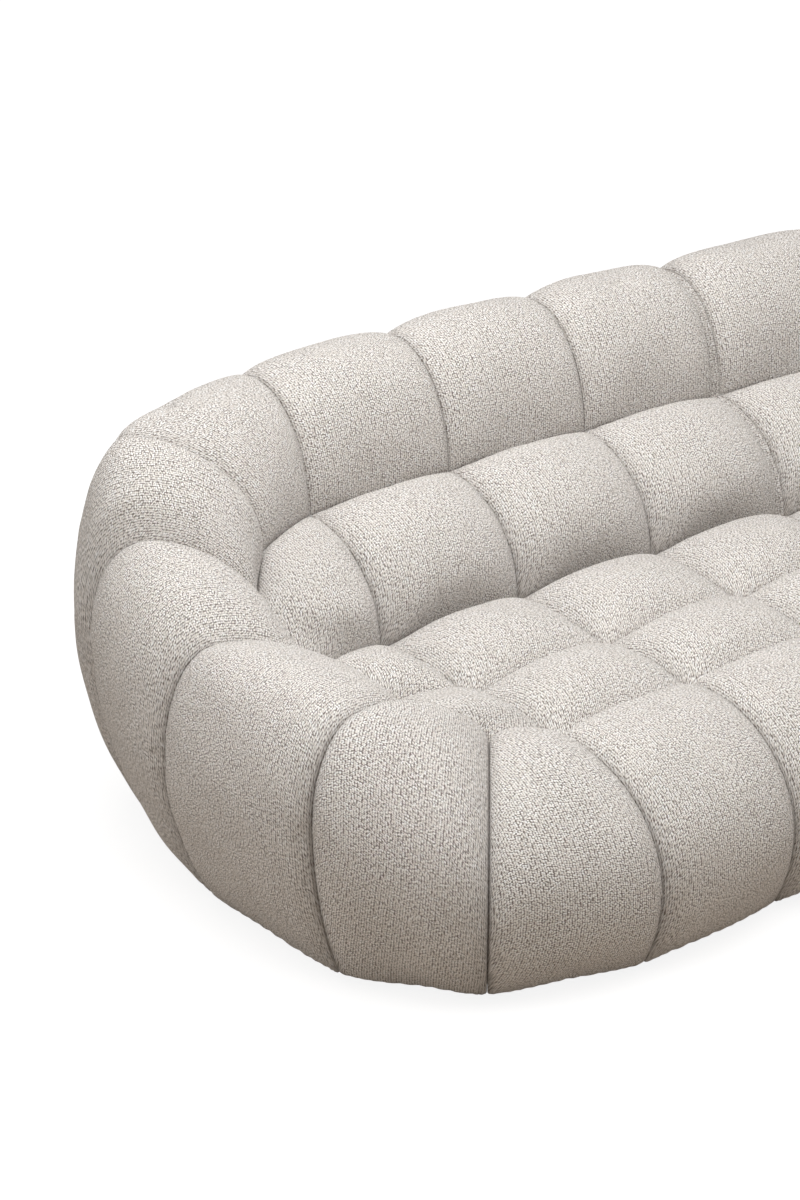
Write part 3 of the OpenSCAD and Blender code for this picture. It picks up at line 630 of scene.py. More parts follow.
class TuftForm:
    """Forms one tuft: a stuffed cover pulled down along its seams, on a sunk underside."""

    ACROSS_STEPS, ACROSS_PINCH = 30, 0.7
    SEAM_HOLD, SIDE_HOLD = 0.030, 0.080
    PUCKER_H, PUCKER_START, PUCKER_REACH = 0.0011, 0.007, 0.020
    PUCKER_WAVES, PUCKER_COUNT = (0.016, 0.042), 5
    LUMP_H, LUMP_REACH, LUMP_WAVES, LUMP_COUNT = 0.0022, 0.05, (0.11, 0.24), 3
    CURL_R = 0.016
    # How far the painted shade along the seams reaches into the cover
    CREASE_REACH = 0.010
    WEAVE_SHIFT = 5.0

    def __init__(self, tuft: Tuft, rng: np.random.Generator) -> None:
        """Keeps what the form is made from.

        Args:
            tuft: The tuft's edges and swell.
            rng: Seeded source of the small irregularities.
        """
        self.tuft = tuft
        self.rng = rng
        self.shares = spaced(self.ACROSS_STEPS, self.ACROSS_PINCH)
        self.points, self.way = self.cover()

    def settle(self, points: np.ndarray, most: float) -> float:
        """Takes over where the cloth simulation left the cover.

        Close to the seams the cover keeps to its own side of them.

        Args:
            points: The simulated cover, in the same rows and columns.
            most: Longest way that a point may have moved.

        Returns:
            The mean rise of the cover.
        """
        move = points - self.points
        _, away = self.lengths(self.points)
        near = away.min(axis=0)[..., None]
        rise = (move * self.way).sum(axis=2, keepdims=True)
        side = move - rise * self.way
        move = self.way * rise * ease(near / self.SEAM_HOLD) + side * ease(near / self.SIDE_HOLD)
        far = np.linalg.norm(move, axis=2, keepdims=True)
        self.points = self.points + move * np.minimum(1.0, most / np.maximum(far, TINY))
        return float(rise.mean())

    def lengths(self, points: np.ndarray) -> tuple[np.ndarray, np.ndarray]:
        """Lengths on the cover, across and along, and distances to its sewn sides.

        Args:
            points: The cover in rows and columns.

        Returns:
            The two lengths in one array, and one distance array for each sewn side.
        """
        across, along = way_lengths(points, 1), way_lengths(points)
        sides = [across, across[:, -1:] - across, along]
        if self.tuft.last is not None:
            sides.append(along[-1:, :] - along)
        return np.stack([across, along], axis=2), np.stack(sides)

    def cover(self) -> tuple[np.ndarray, np.ndarray]:
        """Points of the cover without irregularities, and the way each one bulges.

        Returns:
            Two arrays of rows by columns by 3.
        """
        t = self.tuft
        a, b, v = t.edge_a, t.edge_b, t.ways[:, None]
        gap = LAYOUT.seam_gap / 2 / np.linalg.norm(b.top - a.top, axis=1)[:, None]
        u = mix(gap, 1 - gap, self.shares[None, :])[..., None]
        base = mix(a.top[:, None], b.top[:, None], u)
        along = np.empty_like(base)
        along[1:-1], along[0], along[-1] = base[2:] - base[:-2], base[1] - base[0], base[-1] - base[-2]
        face = unit(np.cross(np.broadcast_to((b.top - a.top)[:, None], base.shape), along))
        share = np.broadcast_to(self.shares[None, :, None], base.shape[:2] + (1,))
        holds = [self.hold(share), self.hold(1 - share)]
        way = a.out[:, None] * holds[0] + b.out[:, None] * holds[1]
        for leans, away in ((t.first, v), (t.last, 1 - v)):
            if leans:
                holds.append(self.hold(away)[..., None] * np.ones_like(share))
                way = way + mix(*leans, u) * holds[-1]
        way = unit(way + face * (1 - np.maximum.reduce(holds)))
        rise = t.swells[:, None, None] * crown(share, t.form)
        return base + way * rise, way

    @staticmethod
    def hold(away: np.ndarray) -> np.ndarray:
        """How far an edge sets the way in which the cover faces, by the share of the way from it."""
        return 1 - ease(away / SHARES.turn)

    def wave(self, run: np.ndarray, length: float) -> np.ndarray:
        """A sine along a length, with a random start."""
        return np.sin(2 * np.pi * run / length + self.rng.uniform(0, 2 * np.pi))

    def puckers(self, run: np.ndarray) -> np.ndarray:
        """Irregular waves along a seam, of about -1 to 1."""
        total = sum(self.wave(run, self.rng.uniform(*self.PUCKER_WAVES)) for _ in range(self.PUCKER_COUNT))
        return total / math.sqrt(self.PUCKER_COUNT)

    def grid(self) -> tuple[np.ndarray, np.ndarray, np.ndarray]:
        """The finished cover at full fineness, its lengths, and its share of painted shade along the seams.

        Returns:
            Points, lengths across and along, and the painted seam shade, 1 at a seam falling to 0 away from
            it.
        """
        points, way = (refined(refined(g, 0), 1) for g in (self.points, self.way))
        way = unit(way)
        size, away = self.lengths(points)
        across, along = size[..., 0], size[..., 1]
        nearest = away.min(axis=0)
        rise = np.zeros_like(nearest)
        for far, run in zip(away, (along, along, across, across)):
            fade = np.exp(-far / self.PUCKER_REACH) * ease(far / self.PUCKER_START)
            rise += self.PUCKER_H * fade * self.puckers(run)
        lump = self.LUMP_H / self.LUMP_COUNT * ease(nearest / self.LUMP_REACH)
        for _ in range(self.LUMP_COUNT):
            turn, length = self.rng.uniform(0, np.pi), self.rng.uniform(*self.LUMP_WAVES)
            rise += lump * self.wave(across * math.cos(turn) + along * math.sin(turn), length)
        points = points + way * rise[..., None]
        if self.tuft.last is None:
            left = np.clip(1 - (along[-1:, :] - along) / self.CURL_R, 0, 1)
            inward = unit((self.middle_of_low() - points) * [1, 1, 0])
            points = points + inward * (self.CURL_R * (1 - np.sqrt(1 - left ** 2)))[..., None]
        # The last array is painted shade, strongest at the seams
        return points, size, np.exp(-nearest / self.CREASE_REACH)

    def middle_of_low(self) -> np.ndarray:
        """The middle of the sunk line at the hem."""
        return (self.tuft.edge_a.low[-1] + self.tuft.edge_b.low[-1]) / 2

    @staticmethod
    def shell(points: np.ndarray, low_a: np.ndarray, low_b: np.ndarray) -> tuple[np.ndarray, list]:
        """Closes a cover over its two sunk lines.

        Args:
            points: The cover in rows and columns.
            low_a: The sunk line below the first column.
            low_b: The sunk line below the last column.

        Returns:
            All points, the cover's first, and the faces.
        """
        at = numbered(points)
        la = at.size + 2 * np.arange(len(at))
        lb = la + 1
        quads = [(at[:-1, :-1], at[1:, :-1], at[1:, 1:], at[:-1, 1:]),
                 (at[:-1, 0], la[:-1], la[1:], at[1:, 0]),
                 (at[:-1, -1], at[1:, -1], lb[1:], lb[:-1]),
                 (la[:-1], lb[:-1], lb[1:], la[1:])]
        faces = [f for quad in quads for f in np.stack([q.ravel() for q in quad], axis=1).tolist()]
        faces.append(at[0].tolist() + [int(lb[0]), int(la[0])])
        faces.append(at[-1, ::-1].tolist() + [int(la[-1]), int(lb[-1])])
        low = np.stack([low_a, low_b], axis=1).reshape(-1, 3)
        everything = np.concatenate([points.reshape(-1, 3), low])
        return everything, outward(everything, faces)

    def sunk(self, steps: int) -> tuple[np.ndarray, np.ndarray]:
        """The two sunk lines, with half the seam gap kept at each.

        Args:
            steps: How often their steps are halved.

        Returns:
            The line below the first column and the one below the last.
        """
        share = np.linspace(0, 1, len(self.tuft.ways))
        finer = np.linspace(0, 1, 2 ** steps * (len(share) - 1) + 1)
        a, b = (np.stack([np.interp(finer, share, line[:, i]) for i in range(3)], axis=1)
                for line in (self.tuft.edge_a.low, self.tuft.edge_b.low))
        gap = LAYOUT.seam_gap / 2 / np.linalg.norm(b - a, axis=1)[:, None]
        return mix(a, b, gap), mix(a, b, 1 - gap)

    def skin(self) -> Skin:
        """The closed mesh of the finished tuft."""
        points, uv, crease = self.grid()
        low_a, low_b = self.sunk(1)
        everything, faces = self.shell(points, low_a, low_b)
        low_uv = np.stack([uv[:, 0] - [LAYOUT.pad_t, 0], uv[:, -1] + [LAYOUT.pad_t, 0]], axis=1)
        all_uv = np.concatenate([uv.reshape(-1, 2), low_uv.reshape(-1, 2)])
        # The sunk underside gets the full share of painted shade
        near = np.concatenate([crease.ravel(), np.ones(2 * len(low_a))])
        return Skin(everything, faces, all_uv + self.rng.uniform(0, self.WEAVE_SHIFT, 2), near)


class StuffingPass:
    """Stuffs all covers with one cloth simulation: pressure from inside, seams held fast."""

    FRAMES = 20
    MOST = 0.012
    CLOTH = {"quality": 4, "mass": 0.3, "tension_stiffness": 20.0, "compression_stiffness": 20.0,
             "shear_stiffness": 8.0, "bending_stiffness": 0.6, "air_damping": 4.0, "use_pressure": True,
             "uniform_pressure_force": 4.0, "shrink_min": -0.008}

    def run(self, forms: list[TuftForm]) -> None:
        """Simulates the covers and hands the result back to the forms.

        Args:
            forms: The tufts.
        """
        pieces = [self.rig(form, k) for k, form in enumerate(forms)]
        scene = bpy.context.scene
        for frame_number in range(1, self.FRAMES + 1):
            scene.frame_set(frame_number)
        graph = bpy.context.evaluated_depsgraph_get()
        rises = []
        for form, piece in zip(forms, pieces):
            mesh = piece.evaluated_get(graph).data
            where = np.empty(3 * len(mesh.vertices), dtype=np.float32)
            mesh.vertices.foreach_get("co", where)
            cover = where[:form.points.size].reshape(form.points.shape).astype(float)
            rises.append(form.settle(cover, self.MOST))
        for piece in pieces:
            bpy.data.meshes.remove(piece.data)
        scene.frame_set(1)
        LOG.info("stuffed %d covers, mean rise %.1f mm", len(forms), 1000 * float(np.mean(rises)))

    def rig(self, form: TuftForm, number: int) -> bpy.types.Object:
        """A cover ready for the simulation, held at its seams and sunk lines.

        Args:
            form: The tuft.
            number: Its number, for the name.

        Returns:
            The object.
        """
        points, faces = form.shell(form.points, *form.sunk(0))
        piece = mesh_object(f"stuffing_{number}", points, faces)
        at = numbered(form.points)
        held = np.concatenate([at[0], at[-1], at[:, 0], at[:, -1], np.arange(at.size, len(points))])
        group = piece.vertex_groups.new(name="held")
        group.add(np.unique(held).tolist(), 1.0, "REPLACE")
        cloth = piece.modifiers.new("stuffing", "CLOTH")
        for key, value in self.CLOTH.items():
            setattr(cloth.settings, key, value)
        cloth.settings.vertex_group_mass = group.name
        cloth.settings.effector_weights.gravity = 0.0
        cloth.collision_settings.use_collision = False
        return piece


@dataclass(frozen=True)
class Tint:
    """How a second tone is mixed in: over which range of a value, and its share at the range's end."""

    low: float
    high: float
    share: float = 1.0


class NodeGraph:
    """A shader node tree that is being filled."""

    MIX_FACTOR, MIX_A, MIX_B, MIX_RESULT = 0, 6, 7, 2

    def __init__(self, owner: bpy.types.Material | bpy.types.World) -> None:
        """Starts with an empty tree.

        Args:
            owner: The material or world that the tree belongs to.
        """
        owner.use_nodes = True
        self.tree = owner.node_tree
        self.tree.nodes.clear()

    def add(self, kind: str, inputs: dict | None = None, **settings: object) -> bpy.types.Node:
        """Adds a node.

        Args:
            kind: Its type without ShaderNode.
            inputs: Numbers, colours or sockets for its inputs.
            settings: Values for its properties.

        Returns:
            The node.
        """
        node = self.tree.nodes.new("ShaderNode" + kind)
        for key, value in settings.items():
            setattr(node, key, value)
        for key, value in (inputs or {}).items():
            if isinstance(value, Socket):
                self.tree.links.new(value, node.inputs[key])
            else:
                node.inputs[key].default_value = value
        return node

    def blend(self, factor: float | Socket, a: tuple | Socket, b: tuple | Socket) -> Socket:
        """Mixes colour b over colour a."""
        a, b = ((*c, 1.0) if isinstance(c, tuple) else c for c in (a, b))
        inputs = {self.MIX_FACTOR: factor, self.MIX_A: a, self.MIX_B: b}
        return self.add("Mix", inputs, data_type="RGBA").outputs[self.MIX_RESULT]

    def ramp(self, value: Socket, low: float, high: float) -> Socket:
        """Maps a value's range to 0 to 1, clamped and smoothed."""
        return self.add("MapRange", {"Value": value, "From Min": low, "From Max": high},
                        interpolation_type="SMOOTHSTEP").outputs["Result"]

    def maths(self, kind: str, a: Socket, b: float | Socket) -> Socket:
        """One arithmetic step."""
        return self.add("Math", {0: a, 1: b}, operation=kind).outputs[0]

    def noise(self, at: Socket, *sizes: float, dims: str = "2D", output: str = "Fac") -> Socket:
        """A noise texture.

        Args:
            at: Its coordinates.
            sizes: Its scale, detail and roughness.
            dims: Its dimensions.
            output: The output that is used.

        Returns:
            The output.
        """
        inputs = {"Vector": at, **dict(zip(("Scale", "Detail", "Roughness"), sizes))}
        return self.add("TexNoise", inputs, noise_dimensions=dims).outputs[output]

    def tinted(self, value: Socket, tint: Tint, base: tuple | Socket, tone: tuple) -> Socket:
        """Mixes a tone over a colour, where and as far as a value lies in the tint's range."""
        share = self.maths("MULTIPLY", self.ramp(value, tint.low, tint.high), tint.share)
        return self.blend(share, base, tone)

    def surface(self, colour: Socket, height: Socket, relief: tuple, numbers: dict[str, float]) -> None:
        """Adds the shader and the output.

        Args:
            colour: The surface colour.
            height: Its relief, from 0 to 1.
            relief: Strength of the relief, and its height in metres.
            numbers: Plain numbers of the shader.
        """
        bump = self.add("Bump", {"Height": height, "Strength": relief[0], "Distance": relief[1]})
        inputs = {"Base Color": colour, "Normal": bump.outputs["Normal"], **numbers}
        self.add("OutputMaterial", {"Surface": self.add("BsdfPrincipled", inputs).outputs["BSDF"]})

    def coloured(self, kind: str, colour: tuple, **inputs: float | Socket) -> Socket:
        """A shader of one colour."""
        return self.add(kind, {"Color": (*colour, 1.0), **inputs}).outputs[0]

    def split(self, lit: Socket, shown: Socket) -> Socket:
        """Mixes what lights the sofa with what the camera sees.

        Args:
            lit: The shader that other rays meet.
            shown: The one that the camera sees, straight or by glossy or clear surfaces.

        Returns:
            The mixed shader.
        """
        ray = self.add("LightPath").outputs
        seen = ray["Is Camera Ray"]
        for other in ("Is Glossy Ray", "Is Transmission Ray"):
            seen = self.maths("MAXIMUM", seen, ray[other])
        return self.add("MixShader", {0: seen, 1: lit, 2: shown}).outputs[0]


@dataclass(frozen=True)
class ClothFinish:
    """The looped upholstery cloth: rows of soft oblong loops over a darker ground, flecked and heathered,
    with painted shade along its seams.

    The loops' size and the wobble of their rows are in metres.
    """

    name: str = "boucle_cloth"
    loop: tuple = (0.98, 0.95, 0.92)
    valley: tuple = (0.125, 0.095, 0.075)
    fleck: tuple = (1.0, 0.99, 0.98)
    shade: tuple = (0.84, 0.79, 0.74)
    loop_w: float = 0.0044
    loop_h: float = 0.0026
    loop_scatter: float = 0.5
    loop_edge: tuple = (0.62, 0.30)
    wobble_m: float = 0.0006
    wobble_noise: tuple = (240.0, 1.0)
    wobble_mean: tuple = (0.5, 0.5, 0.5)
    fibre_noise: tuple = (640.0, 2.0, 0.7)
    fibre_height: float = 0.5
    cloud_noise: tuple = (14.0, 3.0)
    shaded_loops: Tint = Tint(0.1, 0.9)
    pale_loops: Tint = Tint(0.80, 0.90)
    dark_loops: Tint = Tint(0.90, 0.96, 0.4)
    pale_fibres: Tint = Tint(0.45, 0.62, 0.20)
    shaded_clouds: Tint = Tint(0.4, 0.75, 0.12)
    # Strength of the painted shade that darkens the cloth along seams and welts
    crease_share: float = 0.30
    relief: tuple = (0.8, 0.0016)
    roughness: float = 0.95
    specular: float = 0.12
    sheen: float = 0.15
    sheen_roughness: float = 0.5

    def material(self, panel: bool = False) -> bpy.types.Material:
        """Makes the material.

        Args:
            panel: True for an upright joint panel without a weave map, which takes Y and Z instead.

        Returns:
            The material.
        """
        mat = bpy.data.materials.new(self.name + ("_panel" if panel else ""))
        g = NodeGraph(mat)
        if panel:
            at = g.add("SeparateXYZ", {0: g.add("TexCoord").outputs["Object"]}).outputs
            uv = g.add("CombineXYZ", {0: at["Y"], 1: at["Z"]}).outputs[0]
        else:
            uv = g.add("UVMap", uv_map="weave").outputs["UV"]
        wobble = g.noise(uv, *self.wobble_noise, output="Color")
        off = g.add("VectorMath", {0: wobble, 1: self.wobble_mean}, operation="SUBTRACT").outputs[0]
        push = g.add("VectorMath", {0: off, "Scale": self.wobble_m}, operation="SCALE").outputs[0]
        bent = g.add("VectorMath", {0: uv, 1: push}, operation="ADD").outputs[0]
        per_metre = (1 / self.loop_w, 1 / self.loop_h, 1.0)
        weave = g.add("Mapping", {"Vector": bent, "Scale": per_metre}).outputs[0]
        loops = g.add("TexVoronoi", {"Vector": weave, "Scale": 1.0, "Randomness": self.loop_scatter},
                      voronoi_dimensions="2D").outputs
        mound = g.ramp(loops["Distance"], *self.loop_edge)
        fibres = g.noise(uv, *self.fibre_noise)
        per_loop = g.add("SeparateColor", {"Color": loops["Color"]}).outputs
        yarn = g.tinted(per_loop[0], self.shaded_loops, self.shade, self.loop)
        yarn = g.tinted(per_loop[1], self.pale_loops, yarn, self.fleck)
        yarn = g.tinted(per_loop[2], self.dark_loops, yarn, self.valley)
        colour = g.blend(mound, self.valley, yarn)
        colour = g.tinted(fibres, self.pale_fibres, colour, self.fleck)
        colour = g.tinted(g.noise(uv, *self.cloud_noise), self.shaded_clouds, colour, self.shade)
        # Painted shade: near seams and welts the colour is mixed towards the dark valley tone, by a share
        # stored on each point
        crease = g.add("Attribute", attribute_name="crease").outputs["Fac"]
        colour = g.blend(g.maths("MULTIPLY", crease, self.crease_share), colour, self.valley)
        height = g.maths("ADD", mound, g.maths("MULTIPLY", fibres, self.fibre_height))
        g.surface(colour, height, self.relief,
                  {"Roughness": self.roughness, "Specular IOR Level": self.specular,
                   "Sheen Weight": self.sheen, "Sheen Roughness": self.sheen_roughness})
        return mat


MOTTLE_NOISE = (1.0, 5.0, 0.6)
WOOD_RINGS = {"Scale": 0.12, "Distortion": 7.0, "Detail": 3.0, "Detail Scale": 0.5}
WOOD_RING_SHARE = 0.35
PLAIN_BUMP = 0.5


class Pattern(Enum):
    """Patterns of hidden parts, each with the values that turn into its dark and its light tone."""

    GRAIN = (0.35, 0.95)
    CELLS = (0.10, 0.60)
    WEAVE = (0.30, 1.00)
    MOTTLE = (0.30, 0.70)

    def drawn(self, g: NodeGraph, at: Socket) -> Socket:
        """Draws the pattern.

        Args:
            g: The graph that gets its nodes.
            at: The scaled coordinates.

        Returns:
            A value from 0, dark, to 1, light.
        """
        if self is Pattern.CELLS:
            value = g.add("TexVoronoi", {"Vector": at, "Scale": 1.0}).outputs["Distance"]
        elif self is Pattern.WEAVE:
            value = g.maths("MAXIMUM", *(
                g.add("TexWave", {"Vector": at, "Scale": 1.0}, bands_direction=axis).outputs["Fac"]
                for axis in "XY"))
        else:
            value = g.noise(at, *MOTTLE_NOISE, dims="3D")
        if self is Pattern.GRAIN:
            rings = g.add("TexWave", {"Vector": at, **WOOD_RINGS}, bands_direction="DIAGONAL").outputs["Fac"]
            value = g.maths("ADD", g.maths("MULTIPLY", rings, WOOD_RING_SHARE), value)
        return g.ramp(value, *self.value)


@dataclass(frozen=True)
class PlainFinish:
    """Look of a hidden part, patterned on Object coordinates."""

    name: str
    pattern: Pattern
    light: tuple
    dark: tuple
    scale: tuple
    roughness: float
    metallic: float
    bump_m: float

    def material(self) -> bpy.types.Material:
        """Makes the material."""
        mat = bpy.data.materials.new(self.name)
        g = NodeGraph(mat)
        at = g.add("TexCoord").outputs["Object"]
        value = self.pattern.drawn(g, g.add("Mapping", {"Vector": at, "Scale": self.scale}).outputs[0])
        g.surface(g.blend(value, self.dark, self.light), value, (PLAIN_BUMP, self.bump_m),
                  {"Roughness": self.roughness, "Metallic": self.metallic})
        return mat


BOUCLE = ClothFinish()
PLAIN = {
    "plywood": PlainFinish("birch_plywood", Pattern.GRAIN, (0.69, 0.52, 0.33), (0.50, 0.34, 0.19),
                           (2.5, 34.0, 60.0), 0.62, 0.0, 0.0003),
    "foam": PlainFinish("cut_foam", Pattern.CELLS, (0.86, 0.79, 0.52), (0.70, 0.61, 0.36),
                        (420.0, 420.0, 420.0), 0.95, 0.0, 0.0009),
    "webbing": PlainFinish("woven_webbing", Pattern.WEAVE, (0.07, 0.07, 0.075), (0.012, 0.012, 0.014),
                           (90.0, 60.0, 60.0), 0.8, 0.0, 0.0004),
    "dust_cloth": PlainFinish("dust_cloth", Pattern.WEAVE, (0.04, 0.04, 0.045), (0.010, 0.010, 0.012),
                              (150.0, 150.0, 150.0), 0.9, 0.0, 0.0003),
    "glide_plastic": PlainFinish("glide_plastic", Pattern.MOTTLE, (0.03, 0.03, 0.032), (0.018, 0.018, 0.02),
                                 (90.0, 90.0, 90.0), 0.45, 0.0, 0.0001),
    "steel": PlainFinish("zinc_steel", Pattern.MOTTLE, (0.62, 0.63, 0.65), (0.42, 0.43, 0.46),
                         (60.0, 60.0, 900.0), 0.36, 1.0, 0.0001),
}


class Upholstery:
    """Makes the padded pieces of all three sections."""

    def __init__(self, plan: SofaPlan, cloth: bpy.types.Material) -> None:
        """Keeps what the pieces are made from.

        Args:
            plan: Seams and tufts.
            cloth: The upholstery material.
        """
        self.plan = plan
        self.cloth = cloth
        self.count: dict[str, int] = {}

    def build(self) -> None:
        """Forms every tuft and puts it on its section."""
        rng = np.random.default_rng(SEED)
        plans = {Section.MIDDLE: self.plan.middle, Section.LEFT: self.plan.end, Section.RIGHT: self.plan.end}
        forms = {section: [TuftForm(tuft, rng) for tuft in tufts()] for section, tufts in plans.items()}
        StuffingPass().run([form for some in forms.values() for form in some])
        for section, some in forms.items():
            for form in some:
                self.piece(section, form.tuft.row, form.skin())

    def piece(self, section: Section, row: Row, skin: Skin) -> None:
        """Makes one tuft of a section.

        Args:
            section: The section.
            row: The row of tufts it belongs to.
            skin: Its mesh.
        """
        node = f"{section.prefix}_{row.value}"
        self.count[node] = self.count.get(node, 0) + 1
        obj = self.add(f"{node[:-1]}_{self.count[node]}", section, skin.placed(section))
        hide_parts(node)

    def add(self, name: str, section: Section, skin: Skin) -> bpy.types.Object:
        """Turns a skin into an object that rides on its section.

        Args:
            name: The object's name.
            section: The section.
            skin: Its mesh, in the row frame.

        Returns:
            The object.
        """
        obj = mesh_object(name, skin.points, skin.faces)
        mesh = obj.data
        mesh.polygons.foreach_set("use_smooth", [len(f) == 4 for f in skin.faces])
        loops = np.empty(len(mesh.loops), dtype=np.int32)
        mesh.loops.foreach_get("vertex_index", loops)
        weave = mesh.uv_layers.new(name="weave")
        weave.data.foreach_set("uv", skin.uv[loops].astype(np.float32).ravel())
        crease = mesh.attributes.new("crease", "FLOAT", "POINT")
        crease.data.foreach_set("value", skin.crease.astype(np.float32))
        mesh.materials.append(self.cloth)
        mesh.update()
        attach(obj, section.value)
        return obj


class JointWelts:
    """The padded edges of the covered panels, all round each joint from hem to hem."""

    STEPS, ACROSS = 60, 8
    RISE, SUNK, INSET = 0.0022, 0.0030, 0.0002
    # The last number is the share of painted shade that darkens the whole welt
    ROUND, CREASE = (2.5, 0.5), 0.5

    def __init__(self, plan: SofaPlan) -> None:
        """Keeps the seams that the welts follow."""
        self.plan = plan

    def outline(self) -> np.ndarray:
        """The joint's outline on the seams, from the back hem over the seat to the front hem."""
        s, ways = LAYOUT, spaced(self.STEPS)
        back = self.plan.back_seam(0, 0).path(ways, 0.0)[::-1]
        turn = ways[1:] * np.pi / 2
        roll = np.stack([0 * turn, -s.lumbar_d * np.sin(turn),
                         mix(s.lumbar_z, s.seat_z, 1 - np.cos(turn))], axis=1)
        front = self.plan.front_seam(0, 0).path(ways, 0.0)
        seat = mix(roll[-1], front[0], ways[1:-1, None])
        return np.concatenate([back, roll, seat, front])

    def skin(self, low: float, high: float) -> Skin:
        """A half-round strip along the outline.

        Args:
            low: Its first side, along X.
            high: Its second side.

        Returns:
            Its closed mesh, in the frame of the left end section.
        """
        line = self.outline()
        run = way_lengths(line)
        tangent = unit(np.gradient(line, run, axis=0))
        out = np.cross(tangent, np.array([1.0, 0.0, 0.0]))
        out = out * np.sign(out[len(out) // 2, 2])
        share = np.linspace(0, 1, self.ACROSS + 1)
        height = self.RISE * crown(share, self.ROUND) - LAYOUT.joint_drop
        across = mix(low + self.INSET, high - self.INSET, share)
        ring_x = np.concatenate([across, across[::-1]])
        ring_h = np.concatenate([height, np.full(len(share), -LAYOUT.joint_drop - self.SUNK)])
        points = line[:, None] + out[:, None] * ring_h[None, :, None] + ring_x[None, :, None] * [1, 0, 0]
        at = numbered(points)
        after = np.roll(at, -1, axis=1)
        quads = np.stack([at[:-1], after[:-1], after[1:], at[1:]], axis=-1)
        faces = quads.reshape(-1, 4).tolist() + [at[0].tolist(), at[-1, ::-1].tolist()]
        flat = points.reshape(-1, 3)
        uv = np.stack(np.broadcast_arrays(run[:, None], ring_x[None, :]), axis=2).reshape(-1, 2)
        # Every point of the welt gets the same share of painted shade
        return Skin(flat, outward(flat, faces), uv, np.full(len(flat), self.CREASE))

    def build(self, upholstery: Upholstery) -> None:
        """Makes the four welts.

        Args:
            upholstery: The maker of cloth pieces, which places them.
        """
        s = LAYOUT
        inner, outer = s.joint_gap / 2, s.joint_t - s.seam_gap / 2
        end, middle = self.skin(-outer, -inner), self.skin(inner, outer)
        for section in (Section.LEFT, Section.RIGHT):
            upholstery.add(f"{section.prefix}_joint_welt", section, end.placed(section))
            upholstery.add(f"middle_joint_welt_{section.prefix}", Section.MIDDLE, middle.placed(section))


class HiddenFrame:
    """Gives the CAD nodes that stay their materials."""

    def __init__(self) -> None:
        """Makes one material for each slot."""
        self.by_slot = {slot: finish.material() for slot, finish in PLAIN.items()}
        self.by_slot["upholstery"] = BOUCLE.material(panel=True)

    def dress(self) -> None:
        """Assigns each node the material of its slot in the record."""
        slots = {part["node"]: part["material_slot"] for part in frame["record"]["subparts"]}
        for name, obj in frame["nodes"].items():
            obj.data.materials.clear()
            obj.data.materials.append(self.by_slot[slots[name]])


@dataclass(frozen=True)
class Lamp:
    """A square softbox: its place, the point it faces, its side in metres and its power in watts."""

    name: str
    at: tuple
    aim: tuple
    size: float
    power: float

    def build(self) -> None:
        """Adds the lamp to the scene."""
        light = bpy.data.lights.new(self.name, "AREA")
        light.size, light.energy = self.size, self.power
        place(self.name, light, self.at, Vector(self.aim) - Vector(self.at))


def place(name: str, data: bpy.types.Light | bpy.types.Camera, at: tuple, look: Vector) -> bpy.types.Object:
    """Puts a lamp or a camera in the scene.

    Args:
        name: The object's name.
        data: The lamp or the camera.
        at: Its place.
        look: The direction it looks in.

    Returns:
        The object.
    """
    obj = bpy.data.objects.new(name, data)
    obj.location = at
    obj.rotation_euler = look.to_track_quat("-Z", "Y").to_euler()
    bpy.context.scene.collection.objects.link(obj)
    return obj


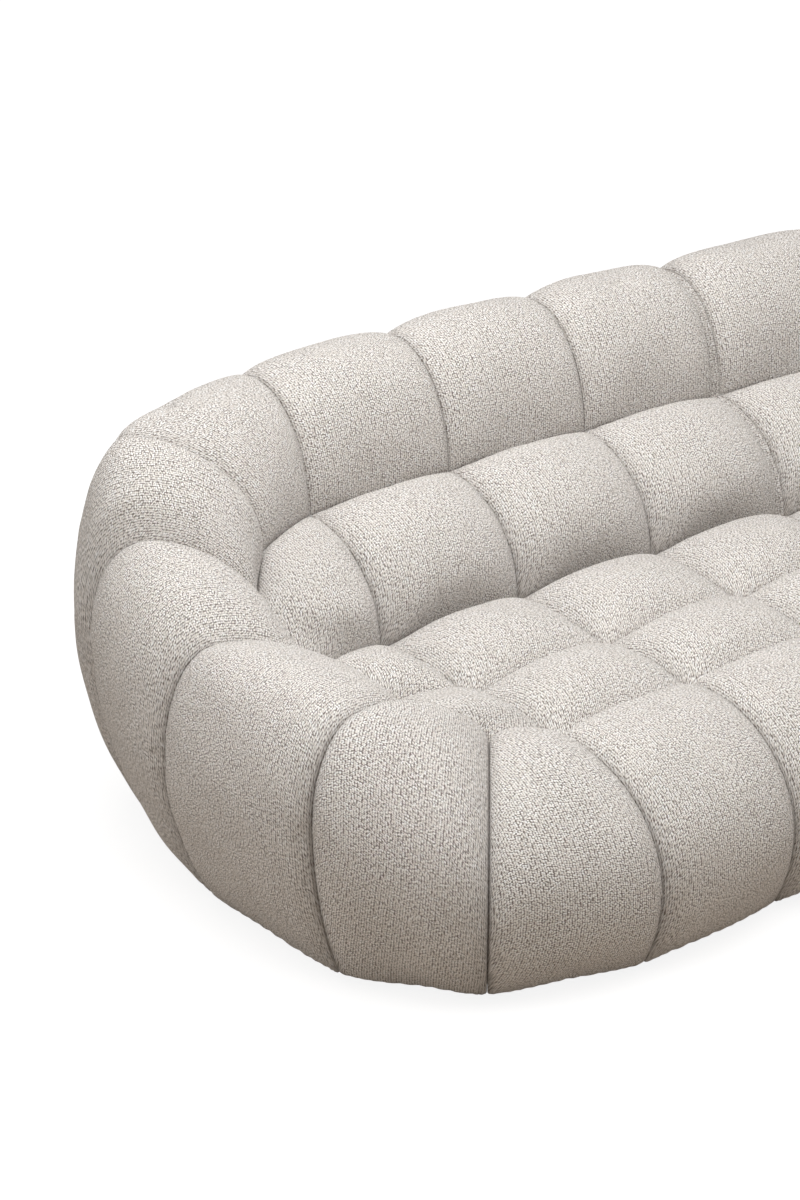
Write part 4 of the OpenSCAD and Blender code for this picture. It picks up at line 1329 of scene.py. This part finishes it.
class Studio:
    """Floor, lamps, world and camera."""

    LAMPS = (Lamp("key_lamp", (-1.2, -0.6, 3.4), (-0.6, 0.1, 0.3), 3.6, 146.0),
             Lamp("front_lamp", (1.2, -4.6, 2.0), (-0.4, -0.2, 0.4), 3.2, 12.0),
             Lamp("side_lamp", (-5.2, 0.2, 2.2), (-1.5, 0.0, 0.5), 3.0, 33.0))
    CAMERA_AT = (-3.85015, -4.46557, 2.68196)
    CAMERA_AZ, CAMERA_EL = 34.7844, -23.8587
    FOCAL_PX, IMAGE_PX = 3203.1, 1200.0
    WHITE = (1.0, 1.0, 1.0)
    FLOOR_R, FLOOR_COLOUR = 60.0, (0.46, 0.40, 0.34)
    GLOW_SHARE = 0.75
    GLOW_RANGE = {"From Min": 1.9, "From Max": 4.2, "To Min": 1.16, "To Max": 1.36}
    SKY, SKY_COLOUR = 0.23, (1.0, 0.92, 0.83)

    def build(self) -> None:
        """Sets the whole studio up."""
        self.floor()
        self.world()
        for lamp in self.LAMPS:
            lamp.build()
        self.camera()

    def floor(self) -> None:
        """A large floor, white to the camera but for the sofa's soft shadow."""
        corners = self.FLOOR_R * np.array([(-1, -1, 0), (1, -1, 0), (1, 1, 0), (-1, 1, 0)])
        obj = mesh_object("floor", corners, [(0, 1, 2, 3)])
        mat = bpy.data.materials.new("floor_paint")
        g = NodeGraph(mat)
        away = g.add("VectorMath", {0: g.add("TexCoord").outputs["Object"]}, operation="LENGTH")
        rise = g.add("MapRange", {"Value": away.outputs["Value"], **self.GLOW_RANGE}).outputs["Result"]
        glow = g.coloured("Emission", self.WHITE, Strength=rise)
        shown = g.add("MixShader", {0: self.GLOW_SHARE, 1: g.coloured("BsdfDiffuse", self.WHITE), 2: glow})
        lit = g.coloured("BsdfDiffuse", self.FLOOR_COLOUR)
        g.add("OutputMaterial", {"Surface": g.split(lit, shown.outputs[0])})
        obj.data.materials.append(mat)

    def world(self) -> None:
        """An even sky that the camera sees as white."""
        world = bpy.data.worlds.new("studio")
        bpy.context.scene.world = world
        g = NodeGraph(world)
        lit = g.coloured("Background", self.SKY_COLOUR, Strength=self.SKY)
        shown = g.coloured("Background", self.WHITE, Strength=1.0)
        g.add("OutputWorld", {"Surface": g.split(lit, shown)})

    def camera(self) -> None:
        """The camera that was fitted to the photo, moved from the end section's frame."""
        turn = LAYOUT.joint_angle
        c, q = math.cos(turn), math.sin(turn)
        (x0, y0), (x, y, z) = LAYOUT.joint_at, self.CAMERA_AT
        az, el = math.radians(self.CAMERA_AZ) - turn, math.radians(self.CAMERA_EL)
        look = Vector((math.sin(az) * math.cos(el), math.cos(az) * math.cos(el), math.sin(el)))
        cam = bpy.data.cameras.new("camera")
        cam.lens = cam.sensor_width * self.FOCAL_PX / self.IMAGE_PX
        scene = bpy.context.scene
        scene.camera = place("camera", cam, (x0 + c * x - q * y, y0 + q * x + c * y, z), look)
        scene.view_settings.view_transform = "Standard"


def main() -> None:
    """Dresses the frame."""
    logging.basicConfig(level=logging.INFO, format="%(name)s: %(message)s")
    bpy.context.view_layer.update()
    plan = SofaPlan(LAYOUT)
    upholstery = Upholstery(plan, BOUCLE.material())
    HiddenFrame().dress()
    upholstery.build()
    JointWelts(plan).build(upholstery)
    Studio().build()
    LOG.info("%d tufts", sum(upholstery.count.values()))


if __name__ == "__main__":
    main()
